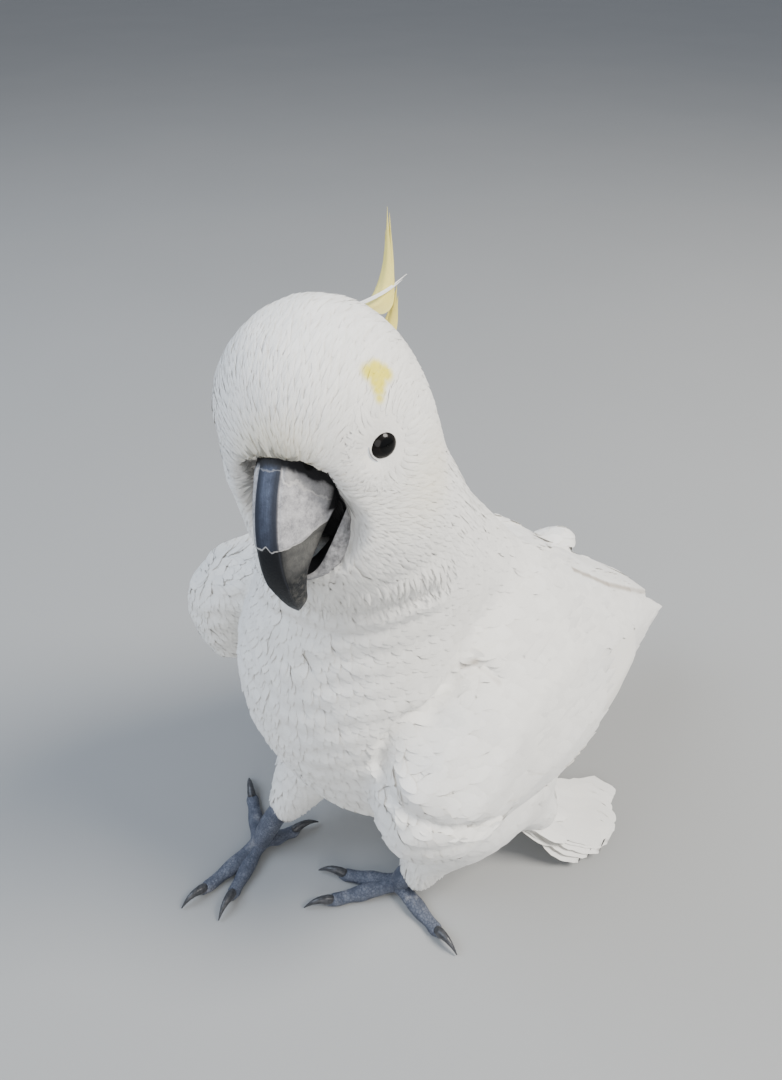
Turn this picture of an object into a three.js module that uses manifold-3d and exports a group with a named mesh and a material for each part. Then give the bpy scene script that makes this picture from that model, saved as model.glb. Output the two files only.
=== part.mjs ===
// A life-size standing cockatoo, in millimetres, +Z up, beak towards -Y and its left side towards +X.
// Sizes below are given from the point on the floor midway between the feet; the finished group is
// then moved so that the middle of its footprint is the origin.

import * as THREE from 'three';
import { mergeVertices } from 'three/addons/utils/BufferGeometryUtils.js';
import Module from 'manifold-3d';

const wasm = await Module();
wasm.setup();

// Driving dimensions.

const gap = 0.4;                 // clearance kept between neighbouring parts
const bodyStep = 10.8;           // facet size of the body
const shinStep = 7.4;            // facet size of the feathered shins

const head = { x: 13, y: 14, z: 306, yaw: 35, pitch: 9, roll: -6 };
const skull = { length: 36, width: 36.8, height: 32 };
const crown = { length: 28, width: 25.5, height: 28.5 };
const eye = { radius: 6.9, forward: 25, side: 30, up: 0, rightInset: 2.4 };
const bill = { arc: 40, forward: 11.2, up: -26.3, from: 24, to: 135 };
const lowerBill = { width: 15.6, depth: 7.5, endDepth: 4.5 };
const crest = { width: 7.5, rootThickness: 5.5, tipThickness: 1.1 };

const wing = { tipX: 4, tipY: 283, tipZ: 50, camber: 0.2 };
const tail = { rootWidth: 32, endWidth: 66, thickness: 9, endThickness: 2.4 };

const tarsus = { radius: 6.4 };
const toe = { radius: 4.3, tipRadius: 2.9, flat: 0.72 };
const claw = { length: 15, radius: 2.5 };

const neckCut = 252;             // height of the parting between head and neck at the nape
const shoulderCut = 212;         // height of the parting between neck and trunk

// Small vector helpers.

const vec = (x, y, z) => new THREE.Vector3(x, y, z);
const mix = (a, b, t) => a + (b - a) * t;
const clamp = (v, low, high) => Math.min(high, Math.max(low, v));
const rad = THREE.MathUtils.degToRad;

// Turns the head's own axes (x left, -y forward, z up) into the bird's.
const headFrame = new THREE.Matrix4()
  .makeTranslation(head.x, head.y, head.z)
  .multiply(new THREE.Matrix4().makeRotationZ(rad(head.yaw)))
  .multiply(new THREE.Matrix4().makeRotationX(rad(-head.pitch)))
  .multiply(new THREE.Matrix4().makeRotationY(rad(head.roll)));

const inHead = (left, forward, up) => vec(left, -forward, up).applyMatrix4(headFrame);

// Soft shapes: distance functions, blended and turned into closed meshes.

// An ellipsoid with its half-sizes along its own axes, tilted about X then turned about Z.
function ellipsoid(centre, half, tilt = 0, turn = 0) {
  const back = new THREE.Matrix4()
    .makeTranslation(centre.x, centre.y, centre.z)
    .multiply(new THREE.Matrix4().makeRotationZ(rad(turn)))
    .multiply(new THREE.Matrix4().makeRotationX(rad(tilt)))
    .invert();
  const q = vec(0, 0, 0);
  return (p) => {
    q.copy(p).applyMatrix4(back);
    const a = Math.hypot(q.x / half.x, q.y / half.y, q.z / half.z);
    const b = Math.hypot(q.x / half.x ** 2, q.y / half.y ** 2, q.z / half.z ** 2);
    return b < 1e-9 ? -Math.min(half.x, half.y, half.z) : (a * (a - 1)) / b;
  };
}

// An ellipsoid given in the head's own axes.
function headEllipsoid(left, forward, up, half) {
  const back = headFrame.clone().multiply(new THREE.Matrix4().makeTranslation(left, -forward, up)).invert();
  const local = ellipsoid(vec(0, 0, 0), half);
  const q = vec(0, 0, 0);
  return (p) => local(q.copy(p).applyMatrix4(back));
}

// A limb that tapers from one round end to the other.
function taper(start, end, startRadius, endRadius) {
  const along = end.clone().sub(start);
  const reach = along.lengthSq();
  const q = vec(0, 0, 0);
  return (p) => {
    q.copy(p).sub(start);
    const t = clamp(q.dot(along) / reach, 0, 1);
    q.addScaledVector(along, -t);
    return q.length() - mix(startRadius, endRadius, t);
  };
}

// Joins shapes with a rounded fillet of the given size.
function blend(shapes, fillet) {
  return (p) => shapes.reduce((d, shape) => {
    const e = shape(p);
    const h = Math.max(fillet - Math.abs(d - e), 0) / fillet;
    return Math.min(d, e) - (h * h * fillet) / 4;
  }, 1e3);
}

// Fills one corner of each grid face whose corners are inside and outside by turns, so that the
// surface never touches itself along an edge. Says whether it changed anything.
function fillDiagonals(value, count, index, inside) {
  let changed = false;
  for (let k = 1; k < count[2] - 2; k++) {
    for (let j = 1; j < count[1] - 2; j++) {
      for (let i = 1; i < count[0] - 2; i++) {
        for (const [u, w] of [[[1, 0, 0], [0, 1, 0]], [[0, 1, 0], [0, 0, 1]], [[0, 0, 1], [1, 0, 0]]]) {
          const corners = [[0, 0], [1, 0], [1, 1], [0, 1]]
            .map(([a, b]) => index(i + a * u[0] + b * w[0], j + a * u[1] + b * w[1], k + a * u[2] + b * w[2]));
          const signs = corners.map((c) => value[c] < 0);
          if (signs[0] !== signs[2] || signs[1] !== signs[3] || signs[0] === signs[1]) continue;
          const outside = corners.filter((c) => value[c] >= 0);
          value[outside.sort((a, b) => value[a] - value[b])[0]] = inside;
          changed = true;
        }
      }
    }
  }
  return changed;
}

// Closed quad-based mesh of the surface where the field equals `level`.
function surface(field, box, step, level = 0) {
  const size = box.getSize(vec(0, 0, 0));
  const count = [size.x, size.y, size.z].map((s) => Math.ceil(s / step) + 2);
  const at = (i, j, k) => vec(box.min.x + (i - 0.5) * step, box.min.y + (j - 0.5) * step,
    box.min.z + (k - 0.5) * step);
  const index = (i, j, k) => i + count[0] * (j + count[1] * k);
  const value = new Float64Array(count[0] * count[1] * count[2]);
  for (let k = 0; k < count[2]; k++) {
    for (let j = 0; j < count[1]; j++) {
      for (let i = 0; i < count[0]; i++) {
        const rim = Math.min(i, j, k, count[0] - 1 - i, count[1] - 1 - j, count[2] - 1 - k) === 0;
        value[index(i, j, k)] = rim ? step : field(at(i, j, k)) - level;
      }
    }
  }
  while (fillDiagonals(value, count, index, -0.02 * step));
  const points = [];
  const cell = new Int32Array(value.length).fill(-1);
  for (let k = 0; k < count[2] - 1; k++) {
    for (let j = 0; j < count[1] - 1; j++) {
      for (let i = 0; i < count[0] - 1; i++) cell[index(i, j, k)] = cellPoint(i, j, k);
    }
  }

  // Middle of the edge crossings of one cell, pulled onto the surface.
  function cellPoint(i, j, k) {
    const sum = vec(0, 0, 0);
    let crossings = 0;
    for (let axis = 0; axis < 3; axis++) {
      for (let side = 0; side < 4; side++) {
        const a = [i, j, k];
        a[(axis + 1) % 3] += side & 1;
        a[(axis + 2) % 3] += side >> 1;
        const b = a.slice();
        b[axis] += 1;
        const va = value[index(...a)];
        const vb = value[index(...b)];
        if ((va < 0) === (vb < 0)) continue;
        sum.add(at(...a).lerp(at(...b), va / (va - vb)));
        crossings++;
      }
    }
    if (crossings === 0) return -1;
    const p = sum.divideScalar(crossings);
    const h = 0.05;
    for (let pass = 0; pass < 3; pass++) {
      const d = field(p) - level;
      const slope = vec(
        field(vec(p.x + h, p.y, p.z)) - field(vec(p.x - h, p.y, p.z)),
        field(vec(p.x, p.y + h, p.z)) - field(vec(p.x, p.y - h, p.z)),
        field(vec(p.x, p.y, p.z + h)) - field(vec(p.x, p.y, p.z - h)),
      ).divideScalar(2 * h);
      p.addScaledVector(slope, -clamp(d, -step / 3, step / 3) / Math.max(slope.lengthSq(), 0.2));
    }
    points.push(p.x, p.y, p.z);
    return points.length / 3 - 1;
  }

  const faces = [];
  for (let k = 0; k < count[2] - 1; k++) {
    for (let j = 0; j < count[1] - 1; j++) {
      for (let i = 0; i < count[0] - 1; i++) {
        const here = value[index(i, j, k)] < 0;
        for (let axis = 0; axis < 3; axis++) {
          const next = [i, j, k];
          next[axis] += 1;
          if (here === value[index(...next)] < 0) continue;
          const u = [0, 0, 0];
          const w = [0, 0, 0];
          u[(axis + 1) % 3] = 1;
          w[(axis + 2) % 3] = 1;
          const a = cell[index(i - u[0] - w[0], j - u[1] - w[1], k - u[2] - w[2])];
          const b = cell[index(i - w[0], j - w[1], k - w[2])];
          const c = cell[index(i, j, k)];
          const d = cell[index(i - u[0], j - u[1], k - u[2])];
          if (here) faces.push(a, b, c, a, c, d);
          else faces.push(a, c, b, a, d, c);
        }
      }
    }
  }
  return solidFrom(points, faces);
}

// Hard shapes: rings of points joined into closed tubes.

// Joins equal rings into one closed body with a fan at each end.
function loft(rings) {
  const sides = rings[0].length;
  const points = rings.flat().flatMap((p) => [p.x, p.y, p.z]);
  const faces = [];
  for (let r = 0; r + 1 < rings.length; r++) {
    for (let s = 0; s < sides; s++) {
      const a = r * sides + s;
      const b = r * sides + ((s + 1) % sides);
      faces.push(a, b, b + sides, a, b + sides, a + sides);
    }
  }
  for (const [ring, flip] of [[0, true], [rings.length - 1, false]]) {
    const middle = rings[ring].reduce((m, p) => m.add(p), vec(0, 0, 0)).divideScalar(sides);
    const hub = points.length / 3;
    points.push(middle.x, middle.y, middle.z);
    for (let s = 0; s < sides; s++) {
      const a = ring * sides + s;
      const b = ring * sides + ((s + 1) % sides);
      faces.push(...(flip ? [b, a, hub] : [a, b, hub]));
    }
  }
  return solidFrom(points, faces);
}

// One superellipse ring: half-sizes along two directions about a centre.
function ring(centre, across, upward, halfAcross, halfUp, sides, power = 1) {
  const round = (v) => Math.sign(v) * Math.abs(v) ** power;
  return Array.from({ length: sides }, (_, s) => {
    const angle = (2 * Math.PI * (s + 0.5)) / sides;
    return centre.clone()
      .addScaledVector(across, halfAcross * round(Math.cos(angle)))
      .addScaledVector(upward, halfUp * round(Math.sin(angle)));
  });
}

// A round tube through the points, with one radius for each of them.
function tube(path, radii, sides, rings) {
  const curve = new THREE.CatmullRomCurve3(path);
  const sections = Array.from({ length: rings }, (_, r) => {
    const t = r / (rings - 1);
    const along = curve.getTangent(t);
    const across = vec(along.y, -along.x, 0);
    if (across.lengthSq() < 1e-3) across.set(1, 0, 0);
    across.normalize();
    const upward = vec(0, 0, 0).crossVectors(along, across).normalize();
    const place = t * (radii.length - 1);
    const low = Math.min(Math.floor(place), radii.length - 2);
    const radius = mix(radii[low], radii[low + 1], place - low);
    return ring(curve.getPoint(t), across, upward, radius, radius, sides);
  });
  return loft(sections);
}

// Solids and meshes.

// Turns points and triangles into a solid whose faces point outwards.
function solidFrom(points, faces) {
  const solid = new wasm.Manifold(new wasm.Mesh({
    numProp: 3,
    vertProperties: Float32Array.from(points),
    triVerts: Uint32Array.from(faces),
  }));
  if (solid.volume() > 0) return solid;
  const flipped = [];
  for (let f = 0; f < faces.length; f += 3) flipped.push(faces[f], faces[f + 2], faces[f + 1]);
  return solidFrom(points, flipped);
}

// A three.js geometry, moved by a matrix, as a solid.
function solidOf(geometry, matrix = new THREE.Matrix4()) {
  const bare = geometry.clone();
  bare.deleteAttribute('normal');
  bare.deleteAttribute('uv');
  const merged = mergeVertices(bare, 1e-4);
  merged.applyMatrix4(matrix);
  return solidFrom(Array.from(merged.attributes.position.array), Array.from(merged.index.array));
}

// Keeps the largest body of a cut solid.
function largest(solid) {
  return solid.decompose().sort((a, b) => b.volume() - a.volume())[0];
}

// Merges points closer than a hundredth of a millimetre and drops the slivers that vanish.
function welded(geometry) {
  const merged = mergeVertices(geometry, 0.01);
  const index = Array.from(merged.index.array);
  const kept = [];
  for (let f = 0; f < index.length; f += 3) {
    const [a, b, c] = index.slice(f, f + 3);
    if (a !== b && b !== c && c !== a) kept.push(a, b, c);
  }
  merged.setIndex(kept);
  return merged;
}

function meshOf(solid, name, material) {
  const { vertProperties, triVerts } = largest(solid).getMesh();
  const geometry = new THREE.BufferGeometry();
  geometry.setAttribute('position', new THREE.BufferAttribute(vertProperties, 3));
  geometry.setIndex(new THREE.BufferAttribute(triVerts, 1));
  const mesh = new THREE.Mesh(welded(geometry), material);
  mesh.name = name;
  return mesh;
}

// A box whose lower face passes through a point, square to a direction.
function halfSpace(point, direction, size = 600) {
  const turn = new THREE.Quaternion().setFromUnitVectors(vec(0, 0, 1), direction.clone().normalize());
  const matrix = new THREE.Matrix4().makeTranslation(point.x, point.y, point.z)
    .multiply(new THREE.Matrix4().makeRotationFromQuaternion(turn))
    .multiply(new THREE.Matrix4().makeTranslation(0, 0, size / 2));
  return solidOf(new THREE.BoxGeometry(size, size, size), matrix);
}

// Materials.

const finish = (color, roughness) => new THREE.MeshStandardMaterial({ color, roughness, metalness: 0 });
const white = finish(0xf1efe8, 0.85);
const yellow = finish(0xf2e387, 0.8);
const horn = finish(0x4a4d55, 0.55);
const darkHorn = finish(0x3a3c42, 0.5);
const scaly = finish(0x5f6778, 0.7);
const glossBlack = finish(0x0a0908, 0.08);

// The feathered body.

function headField() {
  return blend([
    headEllipsoid(-0.8, -0.5, -4, vec(skull.width, skull.length, skull.height)),
    headEllipsoid(-1.5, 1, 10.5, vec(crown.width, crown.length, crown.height)),
    headEllipsoid(0, 13, -2, vec(29, 27, 26)),
    headEllipsoid(0, 10, 10, vec(29, 30, 27)),
    headEllipsoid(14, 4, -20, vec(21, 27, 26)),
    headEllipsoid(-11, 4, -20, vec(17, 26, 26)),
    headEllipsoid(4, 4, -36, vec(30, 31, 27)),
  ], 12);
}

function bodyField() {
  const legs = legPlaces().map((leg) => taper(leg.hip, leg.ankle, 26, 11));
  return blend([
    headField(),
    taper(vec(10, 26, 264), vec(5, 30, 205), 35.5, 46),
    taper(vec(10, 41, 243), vec(3, 90, 186), 33, 31),
    ellipsoid(vec(2, 18, 166), vec(50, 42, 50), 12, 8),
    ellipsoid(vec(6, 44, 126), vec(51, 56, 80), 26, 8),
    ellipsoid(vec(6, 100, 150), vec(36, 62, 38), -44, 4),
    ellipsoid(vec(30, 92, 80), vec(34, 46, 30), -24, -28),
    ellipsoid(vec(48, 66, 66), vec(24, 32, 26), -10, -20),
    taper(vec(38, 90, 60), vec(56, 110, 34), 24, 15),
    ...legs,
  ], 20);
}

function legPlaces() {
  return [
    { side: 'left', hip: vec(44, 58, 74), ankle: vec(43, 37, 20), foot: vec(36, 28, 0), turn: -36 },
    { side: 'right', hip: vec(-22, 22, 84), ankle: vec(-27, -5, 36), foot: vec(-32, -24, 0), turn: 20 },
  ];
}

// Wings.

// Stations from wrist to tip: lower edge, upper edge, half thickness.
function wingStations(side) {
  const wrist = side > 0 ? vec(54, 36, 128) : vec(-60, 15, 160);
  const tip = vec(side * wing.tipX, wing.tipY, wing.tipZ);
  const at = (back, out, up) => vec(wrist.x + side * out, wrist.y + back, wrist.z + up);
  return [
    { low: at(-35, 4, -10), high: at(-35, 0, 16), half: 8 },
    { low: at(-29, 10, -26), high: at(-30, -4, 30), half: 18 },
    { low: at(-6, 15, -39), high: at(-12, -12, 44), half: 25 },
    { low: at(26, 14, -39), high: vec(side * 20, 62, 204), half: 22 },
    { low: vec(side * 71, 96, 88), high: vec(side * 5, 112, 202), half: 15 },
    { low: vec(side * 57, 156, 80), high: vec(side * 2.5, 168, 158), half: 9 },
    { low: vec(side * 34, 214, 73), high: vec(side * 2.2, 226, 112), half: 5 },
    { low: tip.clone().add(vec(side * 5, 0, 0)), high: tip.clone().add(vec(-side * 1.5, 2, 9)), half: 1.8 },
  ];
}

function wingSolid(side) {
  const stations = wingStations(side);
  const lows = new THREE.CatmullRomCurve3(stations.map((s) => s.low));
  const highs = new THREE.CatmullRomCurve3(stations.map((s) => s.high));
  const rings = [];
  const count = 13;
  for (let r = 0; r < count; r++) {
    const t = r / (count - 1);
    const place = t * (stations.length - 1);
    const low = Math.min(Math.floor(place), stations.length - 2);
    const half = mix(stations[low].half, stations[low + 1].half, place - low);
    const a = lows.getPoint(t);
    const b = highs.getPoint(t);
    const along = lows.getTangent(t).add(highs.getTangent(t)).normalize();
    const across = b.clone().sub(a);
    const reach = across.length() / 2;
    across.normalize();
    const outward = vec(0, 0, 0).crossVectors(across, along).normalize();
    if (outward.x * side < 0) outward.negate();
    const centre = a.clone().add(b).multiplyScalar(0.5);
    const section = ring(centre, across, outward, reach, half, 10, 0.85);
    for (const p of section) {
      const u = p.clone().sub(centre).dot(across) / reach;
      p.addScaledVector(outward, reach * wing.camber * (1 - u * u));
    }
    rings.push(section);
  }
  return loft(rings);
}

// Tail.

function tailSolid() {
  const path = new THREE.CatmullRomCurve3([
    vec(30, 92, 58), vec(50, 110, 33), vec(70, 134, 9), vec(88, 162, 0.9),
  ]);
  const rings = [];
  const count = 9;
  for (let r = 0; r < count; r++) {
    const t = r / (count - 1);
    const along = path.getTangent(t);
    const across = vec(-along.y, along.x, 0).normalize();
    const upward = vec(0, 0, 0).crossVectors(along, across).normalize();
    const width = mix(tail.rootWidth, tail.endWidth, t) / 2;
    const end = Math.sqrt(Math.max(0.3, 1 - Math.max(0, (t - 0.8) / 0.24) ** 2));
    const half = mix(tail.thickness, tail.endThickness, t) / 2;
    rings.push(ring(path.getPoint(t), across, upward, width * end, half, 12, 0.8));
  }
  return loft(rings);
}

// Legs and feet.

// Directions of the four toes from the foot's middle, in degrees from straight ahead.
const toeAngles = [
  { name: 'inner_front', angle: -12, length: 30 },
  { name: 'outer_front', angle: 13, length: 37 },
  { name: 'inner_rear', angle: -150, length: 20 },
  { name: 'outer_rear', angle: 130, length: 32 },
];

function toePath(leg, spec) {
  const side = leg.side === 'left' ? 1 : -1;
  const heading = rad(leg.turn) + side * rad(spec.angle);
  const out = vec(Math.sin(heading), -Math.cos(heading), 0);
  const start = leg.foot.clone();
  const height = toe.radius * toe.flat;
  return {
    out,
    path: [
      start.clone().setZ(toe.radius + 3.5),
      start.clone().addScaledVector(out, spec.length * 0.36).setZ(height + 1.6),
      start.clone().addScaledVector(out, spec.length * 0.7).setZ(height),
      start.clone().addScaledVector(out, spec.length + 6).setZ(toe.tipRadius * toe.flat),
    ],
  };
}

function footSolid(leg) {
  const pad = leg.foot.clone().setZ(toe.radius + 3);
  const shank = tube([leg.ankle.clone(), leg.ankle.clone().lerp(pad, 0.5), pad],
    [tarsus.radius + 0.6, tarsus.radius - 0.6, tarsus.radius + 1], 8, 4);
  const toes = toeAngles.map((spec) => {
    const { path } = toePath(leg, spec);
    return tube(path, [toe.radius + 1, toe.radius, toe.radius - 0.3, toe.tipRadius], 6, 5);
  });
  const whole = toes.reduce((sum, one) => sum.add(one), shank);
  return whole.intersect(halfSpace(vec(0, 0, 0), vec(0, 0, 1)));
}

function clawSolid(leg, spec, extra = 0) {
  const { out, path } = toePath(leg, spec);
  const root = path[3].clone().addScaledVector(out, -3).setZ(toe.tipRadius * 0.8 + 0.8);
  const bend = [0, 0.35, 0.7, 1].map((t) => root.clone()
    .addScaledVector(out, claw.length * t)
    .add(vec(0, 0, 3.2 * Math.sin(Math.PI * t * 0.9) - 2.4 * t * t)));
  return tube(bend, [claw.radius + extra, claw.radius * 0.85 + extra, claw.radius * 0.5 + extra,
    0.45 + extra], 6, 5).intersect(halfSpace(vec(0, 0, 0), vec(0, 0, 1)));
}

// Bill, eyes and crest, in the head's own axes.

// Half-width and half-depth of the upper bill from its root to the hook.
const billShape = new THREE.CatmullRomCurve3([
  vec(14.5, 11.5, 0), vec(15.4, 12.8, 0), vec(15.4, 12.8, 0), vec(14, 11, 0), vec(11.2, 8, 0),
  vec(7, 4.4, 0), vec(1.6, 1.2, 0),
]);

// Section of the upper bill at a share of its arc from root to tip.
function billSection(t, extra) {
  const angle = rad(mix(bill.from - extra, bill.to + extra, t));
  const upward = vec(0, -Math.sin(angle), Math.cos(angle));
  const size = billShape.getPoint(t);
  const centre = vec(0, -bill.forward, bill.up).addScaledVector(upward, bill.arc - size.y);
  return { centre, upward, width: size.x + extra, depth: size.y + extra };
}

function upperBill(extra = 0) {
  const rings = [];
  const count = 12;
  for (let r = 0; r < count; r++) {
    const s = billSection(r / (count - 1), extra);
    rings.push(ring(s.centre, vec(1, 0, 0), s.upward, s.width, s.depth, 12, 0.85));
  }
  return transformed(loft(rings));
}

function lowerBillSolid(extra = 0) {
  const rings = [];
  const count = 5;
  const upward = vec(0, -0.43, 0.9).normalize();
  for (let r = 0; r < count; r++) {
    const t = r / (count - 1);
    const width = lowerBill.width * Math.sqrt(1 - 0.72 * t * t) + extra;
    const depth = mix(lowerBill.depth, lowerBill.endDepth, t) + extra;
    rings.push(ring(vec(0, mix(-14, -38, t), mix(-29, -40.5, t)), vec(1, 0, 0), upward, width, depth, 10, 0.8));
  }
  return transformed(loft(rings));
}

// Moves a solid made in the head's axes to its place on the bird.
function transformed(solid) {
  const { vertProperties, triVerts } = solid.getMesh();
  const geometry = new THREE.BufferGeometry();
  geometry.setAttribute('position', new THREE.BufferAttribute(vertProperties.slice(), 3));
  geometry.applyMatrix4(headFrame);
  return solidFrom(Array.from(geometry.attributes.position.array), Array.from(triVerts));
}

function eyeSolid(side, extra = 0) {
  const inset = side < 0 ? eye.rightInset : 0;
  const centre = inHead(side * (eye.side - inset - eye.radius * 0.72), eye.forward, eye.up);
  return solidOf(new THREE.IcosahedronGeometry(eye.radius + extra, 2),
    new THREE.Matrix4().makeTranslation(centre.x, centre.y, centre.z));
}

function crestSolid(extra = 0) {
  const bend = [
    inHead(0, -5, 34), inHead(0, -22, 31), inHead(0, -38, 25.5),
    inHead(1, -53, 26), inHead(1, -63, 36), inHead(0, -69, 57),
  ];
  const path = new THREE.CatmullRomCurve3(bend);
  const left = vec(1, 0, 0).transformDirection(headFrame);
  const rings = [];
  const count = 10;
  for (let r = 0; r < count; r++) {
    const t = r / (count - 1);
    const along = path.getTangent(t);
    const upward = vec(0, 0, 0).crossVectors(along, left).normalize();
    const width = crest.width * Math.sqrt(Math.max(0.02, 1 - t ** 1.6)) + extra;
    rings.push(ring(path.getPoint(t), left, upward, width, mix(crest.rootThickness, crest.tipThickness, t) + extra, 9));
  }
  return loft(rings);
}

// Putting the bird together.

const bird = new THREE.Group();

const bounds = new THREE.Box3(vec(-110, -62, -4), vec(110, 180, 360));
const flesh = surface(bodyField(), bounds, bodyStep);
const fleshSkin = surface(bodyField(), bounds, bodyStep, gap);

const legs = legPlaces();
const billRoom = upperBill(gap).add(lowerBillSolid(gap));
const upper = upperBill();
const lower = lowerBillSolid().subtract(upperBill(gap));

const nape = vec(-0.1, 0.12, 1).normalize();
const aboveHead = halfSpace(vec(8, 22, neckCut), nape);
const aboveHeadGap = halfSpace(vec(8, 22, neckCut - gap), nape);
const aboveNeck = halfSpace(vec(3, 22, shoulderCut), nape);
const aboveNeckGap = halfSpace(vec(3, 22, shoulderCut - gap), nape);

const eyes = [1, -1].map((side) => ({ side, solid: eyeSolid(side), room: eyeSolid(side, gap) }));
const crestRoom = crestSolid(gap);

let headSolid = flesh.intersect(aboveHead).subtract(billRoom).subtract(crestRoom);
for (const one of eyes) headSolid = headSolid.subtract(one.room);
const neckSolid = flesh.subtract(aboveHeadGap).intersect(aboveNeck);
let trunkSolid = flesh.subtract(aboveNeckGap);

// The feathered shins are parted from the trunk by a cut across each leg.
for (const leg of legs) {
  const down = leg.ankle.clone().sub(leg.hip).normalize();
  const cutAt = leg.hip.clone().lerp(leg.ankle, 0.64);
  const reach = new THREE.Quaternion().setFromUnitVectors(vec(0, 0, 1), down);
  const place = (offset) => new THREE.Matrix4()
    .makeTranslation(cutAt.x + down.x * offset, cutAt.y + down.y * offset, cutAt.z + down.z * offset)
    .multiply(new THREE.Matrix4().makeRotationFromQuaternion(reach))
    .multiply(new THREE.Matrix4().makeTranslation(0, 0, 40));
  const inside = solidOf(new THREE.BoxGeometry(42, 42, 80), place(0));
  const outside = solidOf(new THREE.BoxGeometry(43, 43, 80), place(-gap));
  const around = new THREE.Box3().setFromPoints([cutAt, leg.ankle]).expandByVector(vec(26, 26, 20));
  const shin = surface(bodyField(), around, shinStep).intersect(inside).subtract(footRoom(leg));
  bird.add(meshOf(shin, `shin_${leg.side}`, white));
  trunkSolid = trunkSolid.subtract(outside);
}

// Room around the bare shank where it enters the feathered shin.
function footRoom(leg) {
  const pad = leg.foot.clone().setZ(toe.radius + 3);
  const top = leg.ankle.clone().lerp(pad, -0.12);
  return tube([top, leg.ankle.clone().lerp(pad, 0.5), pad],
    [tarsus.radius + 1.2, tarsus.radius + 0.4, tarsus.radius + 1.6], 8, 4);
}

bird.add(meshOf(headSolid, 'head', white));
bird.add(meshOf(neckSolid, 'neck', white));
bird.add(meshOf(trunkSolid, 'trunk', white));

const tailRoom = tailSolid();
bird.add(meshOf(tailRoom.subtract(fleshSkin).intersect(halfSpace(vec(0, 0, 0), vec(0, 0, 1))), 'tail', white));

const wings = [
  { name: 'wing_left', solid: wingSolid(1).subtract(fleshSkin) },
  { name: 'wing_right', solid: wingSolid(-1).subtract(fleshSkin) },
];
for (const one of wings) bird.add(meshOf(one.solid, one.name, white));

bird.add(meshOf(upper, 'bill_upper', horn));
bird.add(meshOf(lower, 'bill_lower', darkHorn));
for (const one of eyes) {
  bird.add(meshOf(one.solid, one.side > 0 ? 'eye_left' : 'eye_right', glossBlack));
}
bird.add(meshOf(crestSolid(), 'crest', yellow));

for (const leg of legs) {
  let foot = footSolid(leg);
  for (const spec of toeAngles) {
    foot = foot.subtract(clawSolid(leg, spec, gap));
    bird.add(meshOf(clawSolid(leg, spec), `claw_${spec.name}_${leg.side}`, darkHorn));
  }
  bird.add(meshOf(foot, `foot_${leg.side}`, scaly));
}

// The origin is the middle of the footprint, at floor level.
const reach = new THREE.Box3().setFromObject(bird);
bird.position.set(-(reach.min.x + reach.max.x) / 2, -(reach.min.y + reach.max.y) / 2, -reach.min.z);

export default bird;
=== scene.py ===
import math
import bpy
import numpy as np
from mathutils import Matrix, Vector
from mathutils.bvhtree import BVHTree


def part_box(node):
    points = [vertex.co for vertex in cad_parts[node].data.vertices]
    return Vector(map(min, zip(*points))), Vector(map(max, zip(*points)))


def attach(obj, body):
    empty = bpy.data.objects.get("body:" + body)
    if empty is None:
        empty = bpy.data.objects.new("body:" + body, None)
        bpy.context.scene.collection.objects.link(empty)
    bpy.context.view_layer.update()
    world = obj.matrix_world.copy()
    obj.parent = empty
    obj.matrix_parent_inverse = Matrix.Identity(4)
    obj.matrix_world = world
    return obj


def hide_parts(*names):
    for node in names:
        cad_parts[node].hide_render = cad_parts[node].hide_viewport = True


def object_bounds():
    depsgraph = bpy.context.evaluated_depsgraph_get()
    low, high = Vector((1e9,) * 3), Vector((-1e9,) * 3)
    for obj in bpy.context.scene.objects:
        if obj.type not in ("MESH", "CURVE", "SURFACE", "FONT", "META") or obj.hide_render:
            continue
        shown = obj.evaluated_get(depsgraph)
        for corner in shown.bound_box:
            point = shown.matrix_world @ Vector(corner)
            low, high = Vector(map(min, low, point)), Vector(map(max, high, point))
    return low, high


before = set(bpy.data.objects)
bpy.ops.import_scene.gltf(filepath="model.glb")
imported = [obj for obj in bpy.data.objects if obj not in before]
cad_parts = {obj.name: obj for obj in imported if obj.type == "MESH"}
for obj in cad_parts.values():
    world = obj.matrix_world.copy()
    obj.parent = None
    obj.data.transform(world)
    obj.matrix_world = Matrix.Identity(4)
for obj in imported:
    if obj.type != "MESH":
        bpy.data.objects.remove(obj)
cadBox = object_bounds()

mm = 0.001
scene = bpy.context.scene
bodyNodes = ["head", "neck", "trunk", "shin_left", "shin_right"]
wingNodes = ["wing_left", "wing_right"]


def unit(v):
    v = np.asarray(v, float)
    return v / np.maximum(np.linalg.norm(v, axis=-1, keepdims=True), 1e-12)


def ease(x, low, high):
    t = np.clip((np.asarray(x, float) - low) / (high - low), 0, 1)
    return t * t * (3 - 2 * t)


def centreOf(node):
    low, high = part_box(node)
    return (np.array(low) + np.array(high)) / 2


def pointsOf(me):
    co = np.empty(len(me.vertices) * 3)
    me.vertices.foreach_get("co", co)
    return co.reshape(-1, 3)


def nodeMesh(node):
    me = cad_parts[node].data
    me.calc_loop_triangles()
    tri = np.empty(len(me.loop_triangles) * 3, int)
    me.loop_triangles.foreach_get("vertices", tri)
    return pointsOf(me), tri.reshape(-1, 3)


def treeOf(verts, faces):
    return BVHTree.FromPolygons(verts.tolist(), faces.tolist())


def gapTo(tree, points):
    return np.array([tree.find_nearest(p)[3] for p in points.tolist()])


def evened(p, rounds):
    # softens rows of points in place, the first and last row held
    for _ in range(rounds):
        p[1:-1] = (p[:-2] + 2 * p[1:-1] + p[2:]) / 4


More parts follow.
